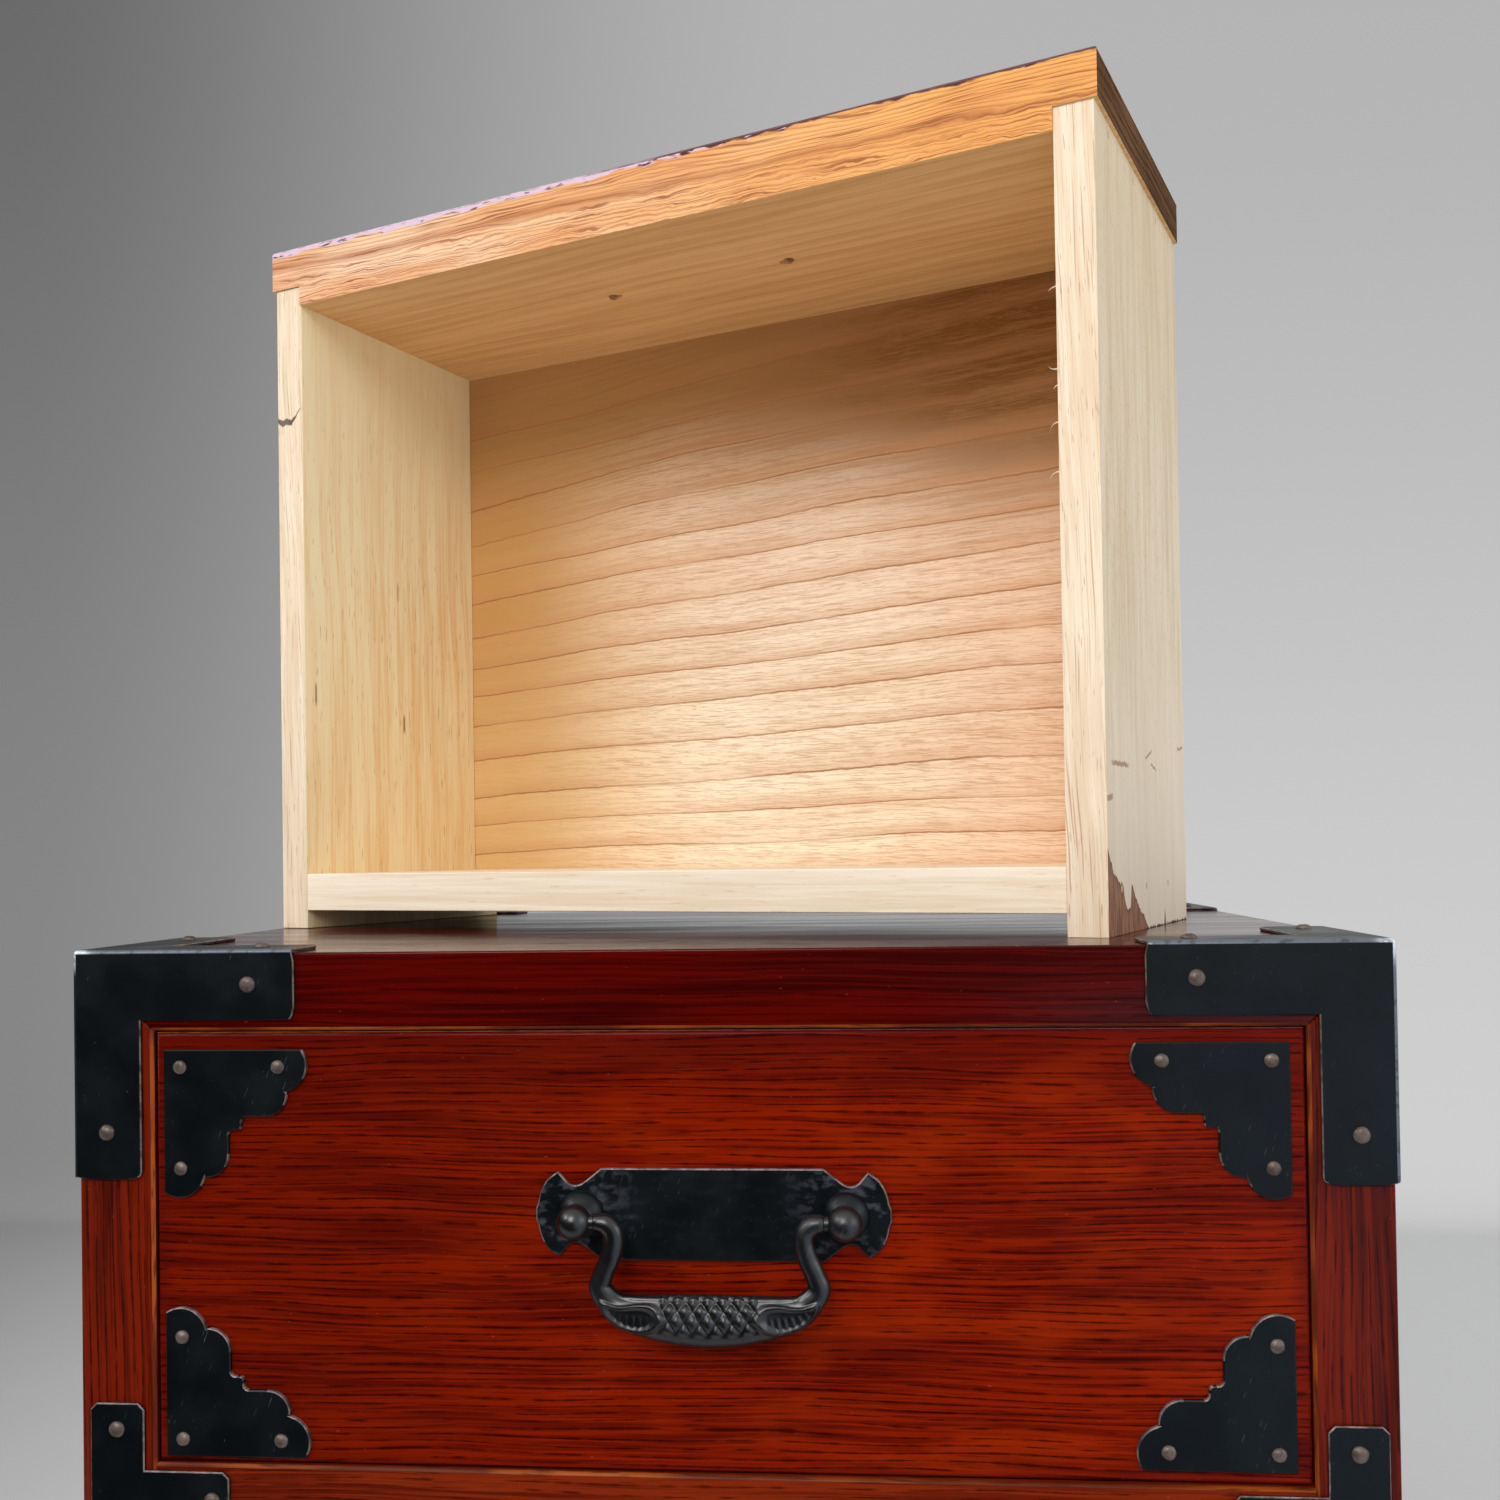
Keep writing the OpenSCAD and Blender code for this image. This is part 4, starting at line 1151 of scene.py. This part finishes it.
def ridge(x, width):
    """A smooth ridge of height 1 at x = 0, and nothing beyond width."""
    return (1 - (x / width) ** 2) ** 2 if abs(x) < width else 0.0


def relief(s, a, growth):
    """Height of the cast pattern at length s from the middle and angle a round it."""
    front = max(0.0, -math.sin(a))
    up = math.cos(a)
    if front <= 0.02:
        return 0.0
    height = 0.0
    reach = abs(s)
    if reach < SCALE_REACH + SCALE_EDGE:
        edge = min(1.0, (SCALE_REACH + SCALE_EDGE - reach) / SCALE_EDGE)
        v = (a + math.pi / 2) * GRIP_UP * 0.8
        p = math.pi * (s / SCALE_LONG + v / SCALE_HIGH)
        q = math.pi * (s / SCALE_LONG - v / SCALE_HIGH)
        scale = abs(math.cos(p) * math.cos(q)) ** 0.6
        edge *= min(1.0, max(0.0, (up + 0.5) / 0.25))
        height += edge * (SCALE_HEIGHT * scale - 0.45)
    along = (reach - LEAF_AT) / LEAF_HALF
    over = (up + 0.1 + 0.2 * along) / (0.6 - 0.1 * along)
    rho = math.hypot(along, over)
    if rho < 1.3:
        height += 0.5 * ridge(rho - 1.0, 0.26)
    if rho < 0.95:
        height -= 0.7 * (1 - rho ** 4)
        if over < 0.3:
            ribs = ridge(((reach - LEAF_AT) / 1.5) % 1.0 - 0.5, 0.4)
            height += 0.45 * ribs * (1 - rho ** 2) * min(1.0, 0.3 - over)
    height += 0.32 * ridge(up - 0.88, 0.11) * min(1.0, growth * 2)
    return height * min(1.0, front * 3)


def bail(name):
    """The handle's bail: its swept skin and the two pins that turn in the posts' balls."""
    bm = bmesh.new()
    line = bail_line()
    rings = []
    last = len(line) - 1
    for i, (s, row) in enumerate(line):
        before, after = line[max(i - 1, 0)][1], line[min(i + 1, last)][1]
        along = (after.xy - before.xy).normalized()
        up = ARM_R + (GRIP_UP - ARM_R) * row.z
        out = ARM_R + (GRIP_OUT - ARM_R) * row.z
        end = max(0.0, 1 - min(i, last - i) * BAIL_STEP / 1.2)
        shrink = 1 - 0.16 * end * end
        ring = []
        for k in range(BAIL_SIDES):
            a = math.tau * k / BAIL_SIDES
            p = Vector((s, math.cos(a) * 3, math.sin(a) * 3))
            lift = relief(s, a, row.z) + 0.1 * noise.noise(p * 0.35)
            rise = (up + lift) * math.cos(a) * shrink
            depth = (out + lift) * math.sin(a) * shrink
            ring.append(bm.verts.new(Vector((
                row.x + along.y * rise, depth, row.y - along.x * rise)) * MM))
        rings.append(ring)
    skin(bm, rings)
    end = POST_X / MM + PIN_PAST
    pin = ((PIN_R, SHOULDER - 1.2), (PIN_R, end - 0.15), (PIN_R - 0.15, end))
    for side in (-1, 1):
        turned(bm, pin, PIN_SIDES, Matrix.Rotation(side * math.pi / 2, 4, "Y"))
    bmesh.ops.recalc_face_normals(bm, faces=bm.faces)
    if name == "loose":
        bmesh.ops.transform(bm, matrix=Matrix.Rotation(BAIL_LEAN, 4, "X"), verts=bm.verts)
    place = LOCAL[name] @ Matrix.Translation((0, -BALL_OUT, PIN_UP))
    piece(f"{name}_drawer_bail", bm, f"{name}_bail", ("cast",), place, 70)


SIDE_LOOKS = ("side", "mouth", "side_inner")
LOOSE_LEFT_LOOKS = ("side_stained", "mouth", "side_inner")
LOOSE_RIGHT_LOOKS = ("side", "mouth_scuffed", "side_specked")

for seed, name in enumerate(DRAWERS):
    loose = name == "loose"
    drawer_front(name)
    drawer_board(name, "side_left", LOOSE_LEFT_LOOKS if loose else SIDE_LOOKS,
                 extra=splinters if loose else None)
    drawer_board(name, "side_right", LOOSE_RIGHT_LOOKS if loose else SIDE_LOOKS)
    drawer_board(name, "back", ("back",))
    drawer_board(name, "bottom", ("panel",))
    bm = node_mesh(f"{name}_drawer_pegs", LOCAL[name])
    drawer_piece(name, "pegs", bm, ("peg",))
    bm = bmesh.new()
    for place in plate_frames():
        plate(bm, corner_outline(), place, True)
    drawer_piece(name, "corner_plates", bm, SHEET_LOOKS, 30)
    bm = bmesh.new()
    plate(bm, handle_outline(), HPLATE_AT, False)
    drawer_piece(name, "handle_plate", bm, ("scuffed_iron", *SHEET_LOOKS[1:]), 30)
    nails(f"{name}_drawer_plate_nails", f"{name}_drawer", 20 + seed, LOCAL[name])
    handle_posts(name)
    bail(name)


# Studio: pale floor with a wall behind, camera and soft lights

WALL_Y = 1.2
COVE_R = 0.1
COVE_STEPS = 12
WALL_TOP = 2.6
FLOOR_HALF = 3.2
FLOOR_FRONT = -3.0


def grey(level):
    return (level, level, level)


def sweep_material():
    """A grey wall that lamps don't change, with painted shade darkening it to the left and
    upwards, and a floor that keeps shadows, with painted shade darkening it to the left; glossy
    surfaces see a dark room in front of the chest, lighter towards the right: a painted
    reflection the floor gives off."""
    net = Look("studio_sweep")
    x, y, z = net.mm()
    # Painted shade: the wall darker towards the left and towards the top
    left = net.mix(z.ramp(200, 1600, 1, 0), grey(104), grey(134))
    right = net.mix(z.ramp(0, 1350, 1, 0), grey(180), grey(207))
    wall = net.mix(x.ramp(-990, 60), left, right)
    # Painted shade: the floor darker towards the left
    net.colour = net.mix(x.ramp(-1050, -100), grey(158), grey(214))
    material = net.finish(0.9, 0.1)
    mirrored = net.add("LightPath", output="Is Glossy Ray").most(
        net.add("LightPath", output="Is Transmission Ray"))
    front = y.ramp(-150, -450)
    # Painted reflection: glossy rays see the floor in front glow, dark at the left and pale blue
    # at the right
    room = net.mix(x.ramp(100, 450), grey(8), (206, 226, 250))
    glow = net.add("Emission", net.mix(front, wall, room))
    is_wall = y.ramp((WALL_Y - COVE_R) / MM, WALL_Y / MM)
    seen = net.add("LightPath", output="Is Camera Ray").most(mirrored) * is_wall
    net.put(net.add("MixShader", seen.most(mirrored * front), net.shader, glow), net.surface)
    return material


def studio_sweep():
    profile = [(FLOOR_FRONT, 0.0)]
    for i in range(COVE_STEPS + 1):
        a = math.pi / 2 * i / COVE_STEPS
        profile.append((WALL_Y - COVE_R + COVE_R * math.sin(a), COVE_R - COVE_R * math.cos(a)))
    profile.append((WALL_Y, WALL_TOP))
    bm = bmesh.new()
    rows = [[bm.verts.new((x, y, z)) for x in (-FLOOR_HALF, FLOOR_HALF)] for y, z in profile]
    for one, two in zip(rows, rows[1:]):
        bm.faces.new((one[0], one[1], two[1], two[0]))
    obj = mesh_object("studio_sweep", bm)
    obj.data.shade_smooth()
    obj.data.materials.append(sweep_material())


def camera():
    yaw = Matrix.Rotation(-CAM_YAW, 3, "Z")
    pitch = Matrix.Rotation(math.pi / 2 + CAM_PITCH, 3, "X")
    right, down, ahead = Matrix.Rotation(CAM_ROLL, 3, "Z") @ pitch @ yaw
    data = bpy.data.cameras.new("camera")
    data.lens = CAM_LENS
    data.shift_x, data.shift_y = CAM_SHIFT
    data.clip_start = 0.01
    obj = shown("camera", data)
    turn = Matrix((right, -down, -ahead)).transposed().to_4x4()
    obj.matrix_world = Matrix.Translation(CAM_AT) @ turn
    bpy.context.scene.camera = obj


def area_light(name, at, target, size, power, tint=(1.0, 1.0, 1.0)):
    data = bpy.data.lights.new(name, "AREA")
    data.color = tint
    data.size = size
    data.energy = power
    obj = shown(name, data)
    obj.location = at
    obj.rotation_mode = "QUATERNION"
    obj.rotation_quaternion = (Vector(target) - Vector(at)).to_track_quat("-Z", "Y")


def room_light():
    """Even light all round; glossy surfaces see it above and to the front right only."""
    world = bpy.data.worlds.new("room")
    bpy.context.scene.world = world
    world.use_nodes = True
    net = Net(world.node_tree)
    x, _, z = net.split("Generated")
    strength = z.ramp(0.15, 0.6, 0, 0.85).most(x.ramp(0.16, 0.34, 0, 0.8))
    seen = net.math("LESS_THAN", net.add("LightPath", output="Is Glossy Ray"), 0.5)
    mirrored = net.add("CombineXYZ", strength, strength, strength)
    even = (0.64, 0.64, 0.64, 1.0)
    net.put(net.mix(seen, mirrored, even), net.nodes["Background"].inputs["Color"])


studio_sweep()
camera()
area_light("key", (-0.35, -1.75, 1.45), (0, 0, 0.4), 0.85, 20)
area_light("left_high", (-1.1, -0.8, 1.25), (0, 0, 0.35), 0.35, 4.5)
area_light("right_fill", (1.7, -0.8, 0.9), (0, 0, 0.35), 0.9, 6, (0.86, 0.94, 1.0))
room_light()

bpy.context.scene.view_settings.view_transform = "Standard"
